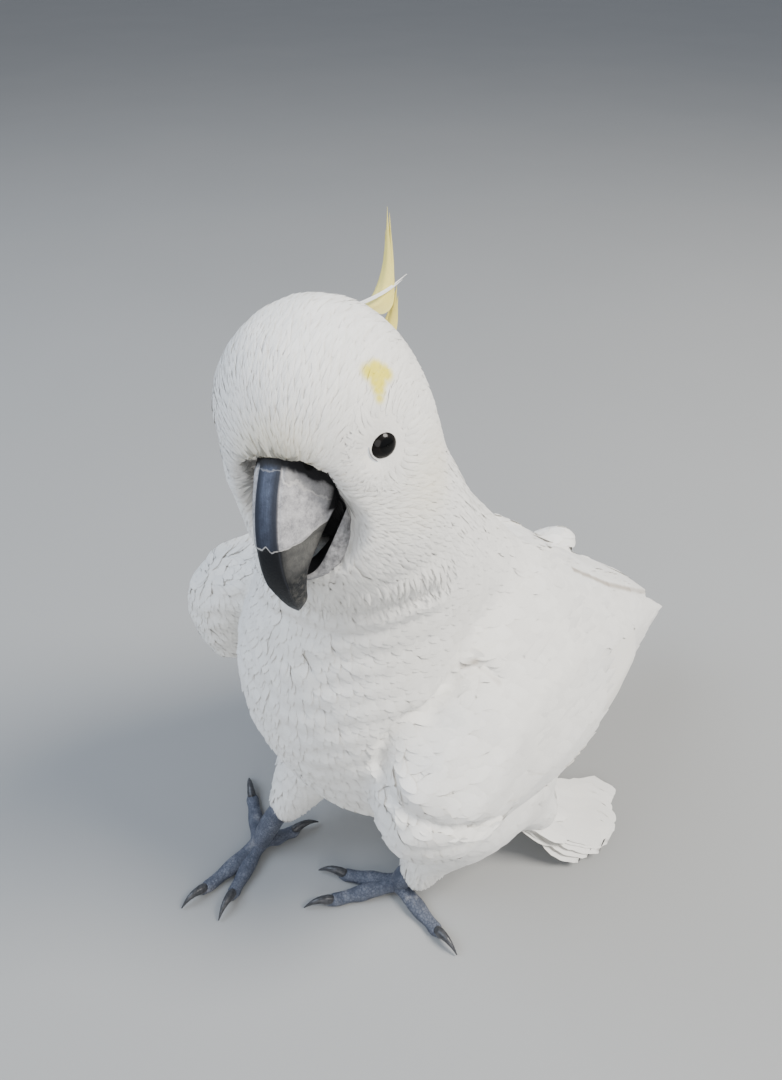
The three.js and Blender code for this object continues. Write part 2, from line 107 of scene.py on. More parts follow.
def smoothCurve(points, count):
    # Catmull-Rom through the points
    p = np.asarray(points, float)
    p = np.concatenate([[2 * p[0] - p[1]], p, [2 * p[-1] - p[-2]]])
    u = np.linspace(0, len(p) - 3 - 1e-9, count)
    i = np.floor(u).astype(int)
    f = (u - i).reshape((-1,) + (1,) * (p.ndim - 1))
    a, b, c, d = p[i], p[i + 1], p[i + 2], p[i + 3]
    return 0.5 * (2 * b + (c - a) * f + (2 * a - 5 * b + 4 * c - d) * f ** 2 + (3 * b - a - 3 * c + d) * f ** 3)


def smoothAt(x, xs, ys):
    # a soft curve through (xs, ys), read at x
    pts = smoothCurve(np.stack([xs, ys], -1), 400)
    return np.interp(x, pts[:, 0], pts[:, 1])


def readAt(x, xs, field):
    # the rows of field, known at xs, read at x
    return np.stack([np.interp(x, xs, column) for column in field.T], -1)


# the head's own axes, found from the two eyeballs

headPose = {"pitch": 9.0, "eyeForward": 25.0, "eyeInset": 2.4}


def headAxes():
    eyeL, eyeR = centreOf("eye_left"), centreOf("eye_right")
    left = unit(eyeL - eyeR)
    rise = math.sin(math.radians(headPose["pitch"]))
    flat = math.hypot(left[0], left[1])
    a = -rise * left[2] / flat
    b = math.sqrt(1 - rise ** 2 - a ** 2)
    forward = np.array([a * left[0] + b * left[1], a * left[1] - b * left[0], rise * flat]) / flat
    up = np.cross(forward, left)
    middle = (eyeL + eyeR) / 2 - left * headPose["eyeInset"] / 2 * mm - forward * headPose["eyeForward"] * mm
    return middle, left, forward, up


headMiddle, headLeft, headForward, headUp = headAxes()


def atHead(left, forward, up):
    # millimetres in the head's axes to metres in the scene
    l, f, u = np.broadcast_arrays(*(np.asarray(v, float) for v in (left, forward, up)))
    return headMiddle + (headLeft * l[..., None] + headForward * f[..., None] + headUp * u[..., None]) * mm


def toHead(p):
    d = (np.asarray(p) - headMiddle) / mm
    return d @ headLeft, d @ headForward, d @ headUp


def addObject(name, verts, faces, material, maps, normals=None, keep=0.7):
    verts = np.asarray(verts, np.float32).reshape(-1, 3)
    faces = np.asarray(faces, np.int32)
    me = bpy.data.meshes.new(name)
    me.vertices.add(len(verts))
    me.vertices.foreach_set("co", verts.ravel())
    me.loops.add(faces.size)
    me.loops.foreach_set("vertex_index", faces.ravel())
    me.polygons.add(len(faces))
    me.polygons.foreach_set("loop_start", np.arange(len(faces), dtype=np.int32) * faces.shape[1])
    me.polygons.foreach_set("use_smooth", np.ones(len(faces), bool))
    me.update(calc_edges=True)
    if normals is not None:
        # shade partly as the soft surface beneath, so the vanes read as one coat
        own = np.empty(len(verts) * 3, np.float32)
        me.vertex_normals.foreach_get("vector", own)
        mixed = unit(own.reshape(-1, 3) * (1 - keep) + np.asarray(normals) * keep)
        me.normals_split_custom_set_from_vertices(mixed.tolist())
    for label, uv in maps.items():
        layer = me.uv_layers.new(name=label)
        layer.data.foreach_set("uv", np.asarray(uv, np.float32).reshape(-1, 2)[faces.ravel()].ravel())
    me.materials.append(material)
    ob = bpy.data.objects.new(name, me)
    scene.collection.objects.link(ob)
    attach(ob, "root")
    return ob


def gridFaces(rows, cols, closed=False):
    r, s = np.meshgrid(np.arange(rows - 1), np.arange(cols if closed else cols - 1), indexing="ij")
    a = r * cols + s
    b = r * cols + (s + 1) % cols
    return np.stack([a, b, b + cols, a + cols], -1).reshape(-1, 4)


# shader building blocks

def makeGroup(name, inputs, outputs):
    group = bpy.data.node_groups.new(name, "ShaderNodeTree")
    for label, kind, default in inputs:
        s = group.interface.new_socket(label, in_out="INPUT", socket_type=kind)
        s.default_value = default
    for label, kind in outputs:
        group.interface.new_socket(label, in_out="OUTPUT", socket_type=kind)
    return group, group.nodes.new("NodeGroupInput"), group.nodes.new("NodeGroupOutput")


class Value:
    # one output of a shader node, ready for sums
    def __init__(self, socket):
        self.socket, self.tree = socket, socket.id_data

    def __add__(self, other):
        return calc("ADD", self, other)

    def __sub__(self, other):
        return calc("SUBTRACT", self, other)

    def __rsub__(self, other):
        return calc("SUBTRACT", other, self)

    def __mul__(self, other):
        return calc("MULTIPLY", self, other)


def plug(socket, value):
    if isinstance(value, Value):
        value.tree.links.new(value.socket, socket)
    elif value is not None:
        opaque = socket.type == "RGBA" and len(value) == 3
        socket.default_value = (*value, 1.0) if opaque else value


def made(kind, inputs, out=0, tree=None, **values):
    # a new node with its inputs filled by place or name
    tree = tree or next(v.tree for v in inputs.values() if isinstance(v, Value))
    n = tree.nodes.new("ShaderNode" + kind)
    for key, value in values.items():
        setattr(n, key, value)
    for key, value in inputs.items():
        plug(n.inputs[key], value)
    return Value(n.outputs[out])


def noiseAt(vector, scale, detail=4.0, rough=0.55):
    return made("TexNoise", {"Vector": vector, "Scale": scale, "Detail": detail, "Roughness": rough})


def remap(value, low, high, toLow=0.0, toHigh=1.0, kind="LINEAR"):
    inputs = dict(enumerate((value, low, high, toLow, toHigh)))
    return made("MapRange", inputs, interpolation_type=kind)


def rising(value, low, high, top=1.0):
    return remap(value, low, high, 0.0, top, "SMOOTHSTEP")


def falling(value, low, high, top=1.0):
    return remap(value, low, high, top, 0.0, "SMOOTHSTEP")


def mixColour(factor, a, b, mode="MIX"):
    return made("Mix", {0: factor, 6: a, 7: b}, 2, data_type="RGBA", blend_type=mode)


def calc(operation, a, b=None, clamp=False):
    return made("Math", {0: a, 1: b}, operation=operation, use_clamp=clamp)


def vectorCalc(operation, a, b, out="Value"):
    return made("VectorMath", {0: a, 1: b}, out, operation=operation)


def blob(vector, centre, radius, edge):
    # 1 inside a ball, fading to 0 over the edge
    return falling(vectorCalc("DISTANCE", vector, tuple(centre)), radius, radius + edge)


def strip(vector, a, b, radius, edge):
    # 1 along the straight line from a to b, fading over the edge
    span = b - a
    off = vectorCalc("SUBTRACT", vector, tuple(a), 0)
    share = remap(vectorCalc("DOT_PRODUCT", off, tuple(span / (span @ span))), 0.0, 1.0)
    reach = made("VectorMath", {0: tuple(span), "Scale": share}, operation="SCALE")
    return falling(vectorCalc("DISTANCE", off, reach), radius, radius + edge)


def inHeadAxis(vector, axis):
    # millimetres from the middle of the head along one of its axes
    return vectorCalc("DOT_PRODUCT", vectorCalc("SUBTRACT", vector, tuple(headMiddle), 0), tuple(axis / mm))


def grey(value):
    return made("CombineColor", {0: value, 1: value, 2: value})


def placeIn(tree):
    return made("TexCoord", {}, "Object", tree)


def fillInputs(n, **values):
    for key, value in values.items():
        plug(n.inputs[key.replace("_", " ")], value)


def newMaterial(name, **values):
    m = bpy.data.materials.new(name)
    m.use_nodes = True
    b = m.node_tree.nodes["Principled BSDF"]
    fillInputs(b, **values)
    return m, m.node_tree, b


def bump(height, strength, distance, normal=None):
    return made("Bump", {"Strength": strength, "Distance": distance, "Height": height, "Normal": normal})


def mapParts(tree, name):
    across = made("SeparateXYZ", {0: made("UVMap", {}, tree=tree, uv_map=name)})
    return across, Value(across.socket.node.outputs[1])


def pair(x, y):
    return made("CombineXYZ", {0: x, 1: y})


plumage = {
    "white": (0.92, 0.915, 0.895), "cream": (0.88, 0.82, 0.64), "yellow": (0.90, 0.78, 0.08),
    # the crease colour is brownish soil with painted shade in it
    "soilAndCreaseShade": (0.42, 0.36, 0.29), "gapeShade": (0.006, 0.006, 0.007), "creaseHalf": 0.4, "creaseEdge": 2.6,
    # from, to, strength
    "creases": [((13.6, 50.6, 168), (13.2, 85, 138.5), 0.85),
                ((13.2, 85, 138.5), (9.5, 114.7, 115.5), 0.8),
                ((9.5, 114.7, 115.5), (-1.0, 158, 80), 0.55),
                ((41.5, -54, 188), (46.6, -47.8, 189.6), 0.45),
                ((46.6, -47.8, 189.6), (50.4, -44.2, 187.5), 0.55),
                ((50.4, -44.2, 187.5), (55.2, -40.9, 180.7), 0.35)],
    # place on the head, radius, edge
    "patch": [((25.6, 23.4, 23.2), 1.7, 2.8), ((27.2, 20.9, 22.6), 2.7, 2.6), ((28.9, 18.4, 21.6), 1.7, 2.8),
              ((27.3, 22.3, 20.2), 1.8, 2.8), ((27.8, 23.6, 17.8), 0.9, 2.8), ((28.1, 24.6, 15.4), 0.2, 2.6)],
}


def markingsGroup():
    # the same markings for skin and coat, placed by where they are on the bird
    g, gi, go = makeGroup("birdMarkings", [("Base", "NodeSocketColor", (1, 1, 1, 1))],
                          [("Color", "NodeSocketColor")])
    place = placeIn(g)
    mark = None
    for spot, radius, edge in plumage["patch"]:
        dab = blob(place, atHead(*spot), radius * mm, edge * mm)
        mark = dab if mark is None else calc("MAXIMUM", mark, dab)
    mark = mark * remap(noiseAt(place, 420, 3), 0.15, 0.45, 0.65, 1.0)
    # painted warm light: the lit cheek is tinted cream; the cream by the bill and the random cloud are the
    # plumage's own tint
    litCheekWarmth = blob(place, atHead(24, 2, -18), 3 * mm, 24 * mm)
    brow = blob(place, atHead(0, 38, 2), 5 * mm, 13 * mm)
    creamAndWarmLight = calc("ADD", noiseAt(place, 16, 3) * 0.32 + litCheekWarmth * 0.85, brow * 0.65, True)
    c = mixColour(creamAndWarmLight, Value(gi.outputs[0]), plumage["cream"])
    c = mixColour(mark, c, plumage["yellow"])
    # brownish soil and painted shade in the creases where the folded wing closes
    for a, b, strength in plumage["creases"]:
        line = strip(place, np.array(a) * mm, np.array(b) * mm, plumage["creaseHalf"] * mm,
                     plumage["creaseEdge"] * mm)
        c = mixColour(line * strength, c, plumage["soilAndCreaseShade"])
    # painted shade: skin and coat near-black where the mouth lies open
    side, front, level = (inHeadAxis(place, axis) for axis in (headLeft, headForward, headUp))
    gapeShade = remap(calc("ABSOLUTE", side), 13.8, 14.6, 1.0, 0.0) * remap(front, 2, 5)
    gapeShade = gapeShade * remap(level, -10, -13) * remap(level, -39.5, -37.5)
    c = mixColour(gapeShade, c, plumage["gapeShade"])
    plug(go.inputs[0], c)
    return g


def barbGroup():
    # fine lines running out and back from the shaft, from the vane map in millimetres
    g, gi, go = makeGroup("featherBarbs", [("Strength", "NodeSocketFloat", 1.0)],
                          [("Height", "NodeSocketFloat"), ("Shade", "NodeSocketFloat")])
    x, y = mapParts(g, "vane")
    slant = y - calc("ABSOLUTE", x) * 1.1
    fine = noiseAt(pair(slant * 3.2, x * 0.35), 1.0, 3.0, 0.6)
    plug(go.inputs[0], fine * Value(gi.outputs[0]))
    plug(go.inputs[1], remap(fine, 0.3, 0.7, 0.93, 1.0))
    return g


markings = markingsGroup()
barbs = barbGroup()


def plumageMaterial(name, colour, barbStrength, roughness, marked=True):
    m, t, b = newMaterial(name, Roughness=roughness, Sheen_Weight=0.2, Sheen_Roughness=0.5,
                          Specular_IOR_Level=0.22)
    tone = made("Attribute", {}, "Fac", t, attribute_name="tone")
    base = made("Group", {"Base": colour}, 0, t, node_tree=markings) if marked else colour
    height = made("Group", {"Strength": barbStrength}, "Height", t, node_tree=barbs)
    shade = grey(tone * Value(height.socket.node.outputs["Shade"]))
    fillInputs(b, Base_Color=mixColour(1.0, base, shade, "MULTIPLY"), Normal=bump(height, 0.5, 0.0003))
    return m


coatMaterial = plumageMaterial("soft_plumage", plumage["white"], 0.8, 0.75)
quillMaterial = plumageMaterial("flight_feathers", (0.90, 0.895, 0.88), 1.0, 0.62)
crestMaterial = plumageMaterial("crest_feathers", (0.82, 0.71, 0.20), 1.0, 0.6, False)


def skinMaterial():
    m, t, b = newMaterial("downy_skin", Roughness=0.85, Specular_IOR_Level=0.2)
    down = noiseAt(placeIn(t), 900, 5, 0.7)
    fluff = mixColour(remap(down, 0.3, 0.7), (0.86, 0.85, 0.83), (0.78, 0.77, 0.75))
    marked = made("Group", {"Base": fluff}, node_tree=markings)
    fillInputs(b, Base_Color=marked, Normal=bump(down, 0.4, 0.0006))
    return m


# the outline of the coat: flesh fused and rounded

coat = {"voxel": 2.2 * mm, "bodyDepth": 1.2 * mm, "headDepth": 0.55 * mm}
eyePlan = {"radius": 6.9, "side": 24.3, "forward": 21.3, "up": 0.7, "turn": 39.0, "lift": 3.0, "sunk": 4.4,
           "dip": 3.7}


def ball(centre, size, rows=14, cols=28):
    # size: one radius or three, mm
    a = np.linspace(0.02, math.pi - 0.02, rows)[:, None]
    b = np.linspace(0, 2 * math.pi, cols, endpoint=False)[None, :]
    v = np.stack([np.sin(a) * np.cos(b), np.sin(a) * np.sin(b), np.cos(a) + 0 * b], -1).reshape(-1, 3)
    f = gridFaces(rows, cols, True)
    f = np.vstack([f[:, [0, 2, 1]], f[:, [0, 3, 2]]])
    last = (rows - 1) * cols
    fan = range(1, cols - 1)
    caps = [[0, i, i + 1] for i in fan] + [[last, last + i + 1, last + i] for i in fan]
    return np.asarray(centre) + v * np.asarray(size) * mm, np.vstack([f, np.array(caps)])


def remeshed(parts, rounds):
    # fuses closed meshes into one rounded skin of quads
    verts, faces, base = [], [], 0
    for v, f in parts:
        verts.append(v)
        faces.append(f + base)
        base += len(v)
    me = bpy.data.meshes.new("outline")
    me.from_pydata(np.vstack(verts).tolist(), [], np.vstack(faces).tolist())
    ob = bpy.data.objects.new("outline", me)
    scene.collection.objects.link(ob)
    ob.modifiers.new("weld", "WELD").merge_threshold = 1e-5
    fuse = ob.modifiers.new("fuse", "REMESH")
    fuse.mode = "VOXEL"
    fuse.voxel_size = coat["voxel"]
    soften = ob.modifiers.new("round", "SMOOTH")
    soften.factor = 0.5
    soften.iterations = rounds
    done = bpy.data.meshes.new_from_object(ob.evaluated_get(bpy.context.evaluated_depsgraph_get()))
    bpy.data.objects.remove(ob)
    quads = np.empty(len(done.loops), int)
    done.loops.foreach_get("vertex_index", quads)
    verts = pointsOf(done)
    bpy.data.meshes.remove(done)
    return largestPart(verts, quads.reshape(-1, 4))


def swollen(name, extra):
    # a node grown a little along its normals, so that the parts fuse over their gaps
    v, f = nodeMesh(name)
    _, where = np.unique(np.round(v, 6), axis=0, return_inverse=True)
    where = where.ravel()
    flat = np.cross(v[f[:, 1]] - v[f[:, 0]], v[f[:, 2]] - v[f[:, 0]])
    total = np.zeros((where.max() + 1, 3))
    for k in range(3):
        np.add.at(total, where[f[:, k]], flat)
    return v + unit(total[where]) * extra, f


def largestPart(verts, faces):
    label = np.arange(len(verts))
    while True:
        new = label.copy()
        np.minimum.at(new, faces.ravel(), np.repeat(label[faces].min(axis=1), faces.shape[1]))
        new = new[new]
        if (new == label).all():
            break
        label = new
    names, counts = np.unique(label[faces[:, 0]], return_counts=True)
    keep = faces[label[faces[:, 0]] == names[counts.argmax()]]
    used, index = np.unique(keep, return_inverse=True)
    return verts[used], index.reshape(keep.shape)


def vertexNormals(verts, faces):
    n = np.zeros_like(verts)
    flat = np.cross(verts[faces[:, 2]] - verts[faces[:, 0]], verts[faces[:, 3]] - verts[faces[:, 1]])
    for k in range(4):
        np.add.at(n, faces[:, k], flat)
    return unit(n)


def eyeSpots(side):
    # centre of the visible eyeball and the way its opening faces
    turn, lift = math.radians(eyePlan["turn"]), math.radians(eyePlan["lift"])
    axis = unit(headLeft * side * math.cos(turn) + headForward * math.sin(turn) + headUp * math.sin(lift))
    inward = eyePlan["sunk"] if side < 0 else 0.0
    return atHead(side * (eyePlan["side"] - inward), eyePlan["forward"], eyePlan["up"]), axis


class Outline:
    def __init__(self, verts, faces, names):
        self.verts, self.faces = verts, faces
        self.normals = vertexNormals(verts, faces)
        self.tree = treeOf(verts, faces)
        trees = [treeOf(*nodeMesh(n)) for n in names]
        self.which = np.array([gapTo(t, verts) for t in trees]).argmin(axis=0)
        self.names = names

    def isNode(self, name):
        return self.which == self.names.index(name)


# level, side and forward reach of the feather edge round the mouth
mouthEdge = [(-46, 0, 42.0), (-43, 5, 37.0), (-40, 10.5, 29.5), (-36, 12.2, 26.5), (-31, 13.7, 24.5),
             (-26, 14.2, 23.5), (-21, 13.8, 24.0), (-17, 14, 27.5), (-12, 14.4, 32.0), (-6, 15, 36.0)]
# line where the folded wing meets breast and flank, mm
wingEdge = [(55.7, -38.3, 179.5), (49.4, -44, 189), (45.1, -55.3, 188.1), (48.4, -74.2, 180.2),
            (47.6, -86.1, 181.2), (46.7, -93.5, 174.8), (46.8, -98.3, 159.5), (54.8, -101.5, 149.6),
            (66.4, -98.6, 145.5), (73.2, -92.2, 141.7), (79.6, -80.3, 136.2), (80.5, -64.8, 124.3),
            (78.3, -48.1, 117.2), (73.3, -28, 108.7)]


def lineGap(points, line):
    # distance to a bent line, and the share along it
    line = np.asarray(line, float)
    best, share = np.full(len(points), 1e9), np.zeros(len(points))
    for k, (a, b) in enumerate(zip(line[:-1], line[1:])):
        t = np.clip(((points - a) @ (b - a)) / ((b - a) @ (b - a)), 0, 1)
        gap = np.linalg.norm(points - a - t[:, None] * (b - a), axis=1)
        share = np.where(gap < best, (k + t) / (len(line) - 1), share)
        best = np.minimum(best, gap)
    return best, share


def shapeFace(verts, normals):
    l, f, u = toHead(verts)
    # the cheeks fall back to the edge of the mouth
    edge = np.array(mouthEdge, float)
    beside = np.abs(l) - np.interp(u, edge[:, 0], edge[:, 1])
    limit = np.interp(u, edge[:, 0], edge[:, 2]) + np.clip(beside, 0, None) * 0.8 - np.clip(-beside, 0, 3) * 0.5
    over = f - limit
    over = 0.5 * (over + np.sqrt(over ** 2 + 4.0)) * ease(beside, 16, 8)
    back = over * ease(u, -4, -11) * ease(u, -51, -46) * ease(f, 6, 16)
    verts = verts - headForward * (back * mm)[:, None]
    # the right eye lies deeper, behind a brow
    spot, axis = eyeSpots(-1)
    away = (verts - spot) / mm
    outward = away @ axis
    flat = away - outward[:, None] * axis
    gap = np.maximum(np.linalg.norm(flat, axis=1), 1e-6)
    brow = ease(flat @ unit(headLeft * 0.59 + headForward * 0.70 + headUp * 0.32) / gap, 0, 0.7)
    socket = np.clip((18 - 9.8 * brow - gap) / (10 - 7.4 * brow), 0, 1)
    socket = socket ** 2 * (3 - 2 * socket) * ((outward > 0) & (outward < 16))
    verts = verts - axis * (eyePlan["dip"] * socket * mm)[:, None]
    # ruff under the cheeks with two folds below it, and soft folds across the breast
    front = ease(f, -22, 4) * ease(np.abs(l), 46, 34)
    wave = 0.25 * np.sin(l * 0.4) + 0.6 * np.sin(l * 0.13 + 1)
    # height, level, width and sway of each fold
    folds = ((1.3, 60, 5.0, 1), (-1.7, 70, 3.4, 1), (0.7, 76, 3.0, 1), (-1.1, 82, 2.6, 2))
    ruff = front * sum(high * np.exp(-((u + level + wave * sway) / wide) ** 2)
                       for high, level, wide, sway in folds)
    x, z = verts[:, 0] / mm, verts[:, 2] / mm
    breast = np.clip(-normals[:, 1] * 1.2 + 0.25, 0, 1) * ease(-u, 78, 95) * ease(z, 40, 75)
    drift = 5 * np.sin(x * 0.055 + 0.6) + 3 * np.sin(x * 0.13 + z * 0.03)
    ripple = np.sin((z + drift) * 2 * math.pi / 11.5) + 0.5 * np.sin((z - drift) * 2 * math.pi / 19 + 1.0)
    verts = verts + normals * ((ruff + ripple * breast * 0.42) * mm)[:, None]
    # a crease where the folded wing lies over the breast and flank
    gap, share = lineGap(verts / mm, wingEdge)
    deep = 2.9 * ease(gap, 4.6, 0.4) * ease(share, 1.0, 0.85) * ease(share, -0.02, 0.05)
    inside = np.linalg.norm((verts / mm - [60, -70, 155]) / [32, 34, 40], axis=1)
    bulge = 1.8 * ease(gap, 2.5, 9.0) * ease(inside, 1.05, 0.7)
    return verts + normals * ((bulge - deep) * mm)[:, None]


# centre and half sizes, mm
wristPlan = {1: ((45.0, -72.0, 112.0), (17.0, 20.0, 26.0)), -1: ((-62.0, -88.0, 150.0), (15.0, 20.0, 25.0))}


def wristBall(side):
    centre, half = wristPlan[side]
    return ball(np.array(centre) * mm, half)


def wingOutline(name, side):
    verts, faces = remeshed([swollen(name, 0.4 * mm), wristBall(side)], 16)
    return Outline(verts, faces, [name])


wingHulls = {"wing_left": wingOutline("wing_left", 1), "wing_right": wingOutline("wing_right", -1)}


def upperEdge(name, y):
    pts = wingHulls[name].verts
    near = pts[np.abs(pts[:, 1] - y) < 4 * mm]
    return near[near[:, 2] > near[:, 2].max() - 2 * mm].mean(axis=0)


def backFill():
    # fills the hollow between the folded wings, where the long back feathers lie
    ys = np.linspace(-56, 76, 34) * mm
    edges = [np.array([upperEdge(name, y) for y in ys]) for name in wingNodes]
    for edge in edges:
        evened(edge, 6)
    fill = []
    for p, q in zip(*edges):
        for share in (0.0, 0.5, 1.0):
            spot = p * (1 - share) + q * share
            drop = 5.0 if share == 0.5 else 3.0
            spot[2] = spot[2] - (drop + 5 * ease(spot[1] / mm, 22, 76)) * mm
            reach = 3.6 if share != 0.5 else np.linalg.norm((p - q)[:2]) / 2 / mm
            fill.append(ball(spot, (max(reach, 3.0), 8, 5.5)))
    # a loose tuft standing up behind the shoulders, on the right
    fill.append(ball(np.array([-15, 60, 159.5]) * mm, (12, 21, 9)))
    # the crown closed over the root of the crest
    for forward, up in ((2, 32.5), (-6, 31.8), (-14, 28.2), (-22, 22.0), (-30, 11.5)):
        fill.append(ball(atHead(0, forward, up), 5.6))
    return fill


def coatOutline():
    # everything under the coat in one hull
    parts = [swollen(name, 0.5 * mm) for name in bodyNodes + wingNodes] + [ball(headMiddle, 31.0)]
    parts += [ball(eyeSpots(side)[0], 6.6) for side in (1, -1)] + [wristBall(side) for side in (1, -1)]
    parts += backFill()
    verts, faces = remeshed(parts, 14)
    return Outline(shapeFace(verts, vertexNormals(verts, faces)), faces, bodyNodes + wingNodes)


print("fusing the outlines")
body = coatOutline()
print("outlines", len(body.verts), [len(h.verts) for h in wingHulls.values()])


# wings measured as a grid of outer points: s from wrist to tip, t from lower to upper edge

def measureWing(name, side):
    hull = wingHulls[name]
    pts = hull.verts
    front, back = pts[pts[:, 1].argmin()], pts[pts[:, 1].argmax()]
    along = unit(back - front)
    lean = np.array([-side * 0.5, 0.1, 0.86])
    across = unit(lean - along * (lean @ along))
    outward = unit(np.cross(across, along)) * side
    outward = outward if outward[0] * side > 0 else -outward
    reach = (pts - front) @ along
    total = reach.max()
    lows, highs = [], []
    edges = np.linspace(0, total, 37)
    for a, b in zip(edges[:-1], edges[1:]):
        inside = pts[(reach >= a) & (reach <= b)]
        if len(inside) > 3:
            lows.append(inside[(inside @ across).argmin()])
            highs.append(inside[(inside @ across).argmax()])
    lows, highs = np.array(lows), np.array(highs)
    evened(lows, 5)
    evened(highs, 5)
    lows, highs = smoothCurve(lows, 36)[:, None], smoothCurve(highs, 36)[:, None]
    t = np.linspace(0.02, 0.98, 13)[:, None]
    grid = lows * (1 - t) + highs * t
    for spot in grid.reshape(-1, 3):
        hit = hull.tree.ray_cast(tuple(spot + outward * 0.09), tuple(-outward), 0.18)[0]
        if hit is not None:
            spot[:] = hit
    for _ in range(5):
        evened(grid, 1)
        evened(grid.swapaxes(0, 1), 1)
    return {"grid": grid, "along": along, "outward": outward, "front": front, "tip": back, "total": total}


def onWing(wing, s, t):
    # point and outward normal at shares s and t of the wing
    g = wing["grid"]
    s, t = np.broadcast_arrays(np.asarray(s, float), np.asarray(t, float))
    x = np.clip(s, 0, 1) * (g.shape[0] - 1)
    y = np.clip(t, 0, 1) * (g.shape[1] - 1)
    i = np.minimum(x.astype(int), g.shape[0] - 2)
    j = np.minimum(y.astype(int), g.shape[1] - 2)
    a, b = (x - i)[..., None], (y - j)[..., None]
    q00, q10, q01, q11 = g[i, j], g[i + 1, j], g[i, j + 1], g[i + 1, j + 1]
    p = q00 * (1 - a) * (1 - b) + q10 * a * (1 - b) + q01 * (1 - a) * b + q11 * a * b
    alongS = (q10 - q00) * (1 - b) + (q11 - q01) * b
    alongT = (q01 - q00) * (1 - a) + (q11 - q10) * a
    n = unit(np.cross(unit(alongS), unit(alongT)))
    return p, np.where((n @ wing["outward"])[..., None] < 0, -n, n)


wings = {"wing_left": measureWing("wing_left", 1), "wing_right": measureWing("wing_right", -1)}

# shares of the wing where skin and coat end; the coat goes on over its edges, which face up
wingCut = {"skin": 0.70, "coat": 0.43, "edges": 0.74, "near": 1.7 * mm, "faceUp": 0.42}


def wingShare(wing, points):
    return ((points - wing["front"]) @ wing["along"]) / wing["total"]


def bodyUnwrap(points):
    # the skin opened out round the bird's own upright axis, top to bottom
    middle = np.array([headMiddle[0], headMiddle[1] + 0.03, 0])
    low, high = np.array(cadBox[0]), np.array(cadBox[1])
    angle = np.arctan2(points[..., 0] - middle[0], -(points[..., 1] - middle[1]))
    v = (points[..., 2] - low[2]) / (high[2] - low[2])
    return np.stack([0.5 + angle / (2 * math.pi) * 0.96, 0.02 + 0.96 * v], -1)


def makeSkin():
    # one skin through body and wings, inside the coat by its depth
    up = toHead(body.verts)[2]
    depth = coat["bodyDepth"] + (coat["headDepth"] - coat["bodyDepth"]) * ease(up, -60, -35)
    keep = np.ones(len(body.verts), bool)
    for name, wing in wings.items():
        keep &= ~((wingShare(wing, body.verts) > wingCut["skin"]) & body.isNode(name))
    faces = body.faces[keep[body.faces].all(axis=1)]
    used, index = np.unique(faces, return_inverse=True)
    inner = body.verts - body.normals * depth[:, None]
    return addObject("skin", inner[used], index.reshape(faces.shape), skinMaterial(),
                     {"OFBake": bodyUnwrap(inner[used])})


skin = makeSkin()
print("skin", 2 * len(skin.data.polygons), "triangles")


# feathers: grids of points along paths that hug the outline

class FeatherPile:
    def __init__(self):
        self.verts, self.faces, self.soft, self.count = [], [], [], 0
        self.vane, self.bake, self.tone = [], [], []

    def add(self, paths, normals, halfWidth, shape, columns, rng, cup=0.12, ragged=0.12, height=0.0,
            tone=None, rib=0.0, blunt=0.09):
        f, rows, _ = paths.shape
        along = unit(np.gradient(paths, axis=1))
        side = unit(np.cross(along, normals))
        x, v = np.linspace(-1, 1, columns), np.linspace(0, 1, rows)
        w = (halfWidth[:, None] * shape(v))[..., None]
        length = np.linalg.norm(np.diff(paths, axis=1), axis=2).sum(axis=1)[:, None, None]
        # tips fray and round off by less than a row, so that no face folds over
        fray = np.zeros((f, rows, columns))
        teeth = rng.random((f, columns)) * min(ragged, 0.30 / (rows - 1))
        fray[:, -1] = -teeth * (0.4 + 0.6 * np.abs(x))
        fray[:, -2] = -teeth * 0.3
        rounding = -min(blunt, 0.09) * np.abs(x) ** 2 * ease(v, 0.35, 1.0)[:, None]
        push = (fray + rounding) * length
        lift = np.asarray(height)[..., None] - cup * x ** 2 * w + rib * (np.abs(x) < 1e-6)
        edge = 1 + (rng.random((f, rows, columns)) - 0.5) * 0.08
        p = (paths[:, :, None] + side[:, :, None] * (x * w * edge)[..., None]
             + normals[:, :, None] * lift[..., None] + along[:, :, None] * push[..., None])
        cell = gridFaces(rows, columns)
        self.faces.append((self.count + np.arange(f)[:, None, None] * rows * columns + cell).reshape(-1, 4))
        self.verts.append(p.reshape(-1, 3))
        tilt = unit(normals[:, :, None] + side[:, :, None] * (x * cup * 1.2)[:, None])
        self.soft.append(tilt.reshape(-1, 3))
        # vane map in millimetres, each feather at its own stretch of the barbs
        y = v[:, None] * length / mm + rng.random((f, 1, 1)) * 50
        self.vane.append(np.stack(np.broadcast_arrays(x * w / mm, y), -1).reshape(-1, 2))
        bright = (rng.random(f) * 0.08 + 0.92) if tone is None else tone
        # each feather darker toward its root: painted shade where the next feathers lie over it
        shade = bright[:, None] * (0.93 + 0.07 * ease(v, 0.0, 0.6))
        self.tone.append(np.repeat(shade, columns))
        patch = np.stack(np.broadcast_arrays(x * 0.0015, (v[:, None] - 0.5) * 0.003), -1)
        self.bake.append((bodyUnwrap(paths[:, 0])[:, None, None] + patch).reshape(-1, 2))
        self.count += f * rows * columns

    def finish(self, name, material, keep=0.7):
        maps = {"OFBake": np.clip(np.vstack(self.bake), 0, 1), "vane": np.vstack(self.vane)}
        ob = addObject(name, np.vstack(self.verts), np.vstack(self.faces), material, maps,
                       np.vstack(self.soft), keep)
        layer = ob.data.attributes.new("tone", "FLOAT", "POINT")
        layer.data.foreach_set("value", np.concatenate(self.tone).astype(np.float32))
        print(name, 2 * len(ob.data.polygons), "triangles")
        return ob


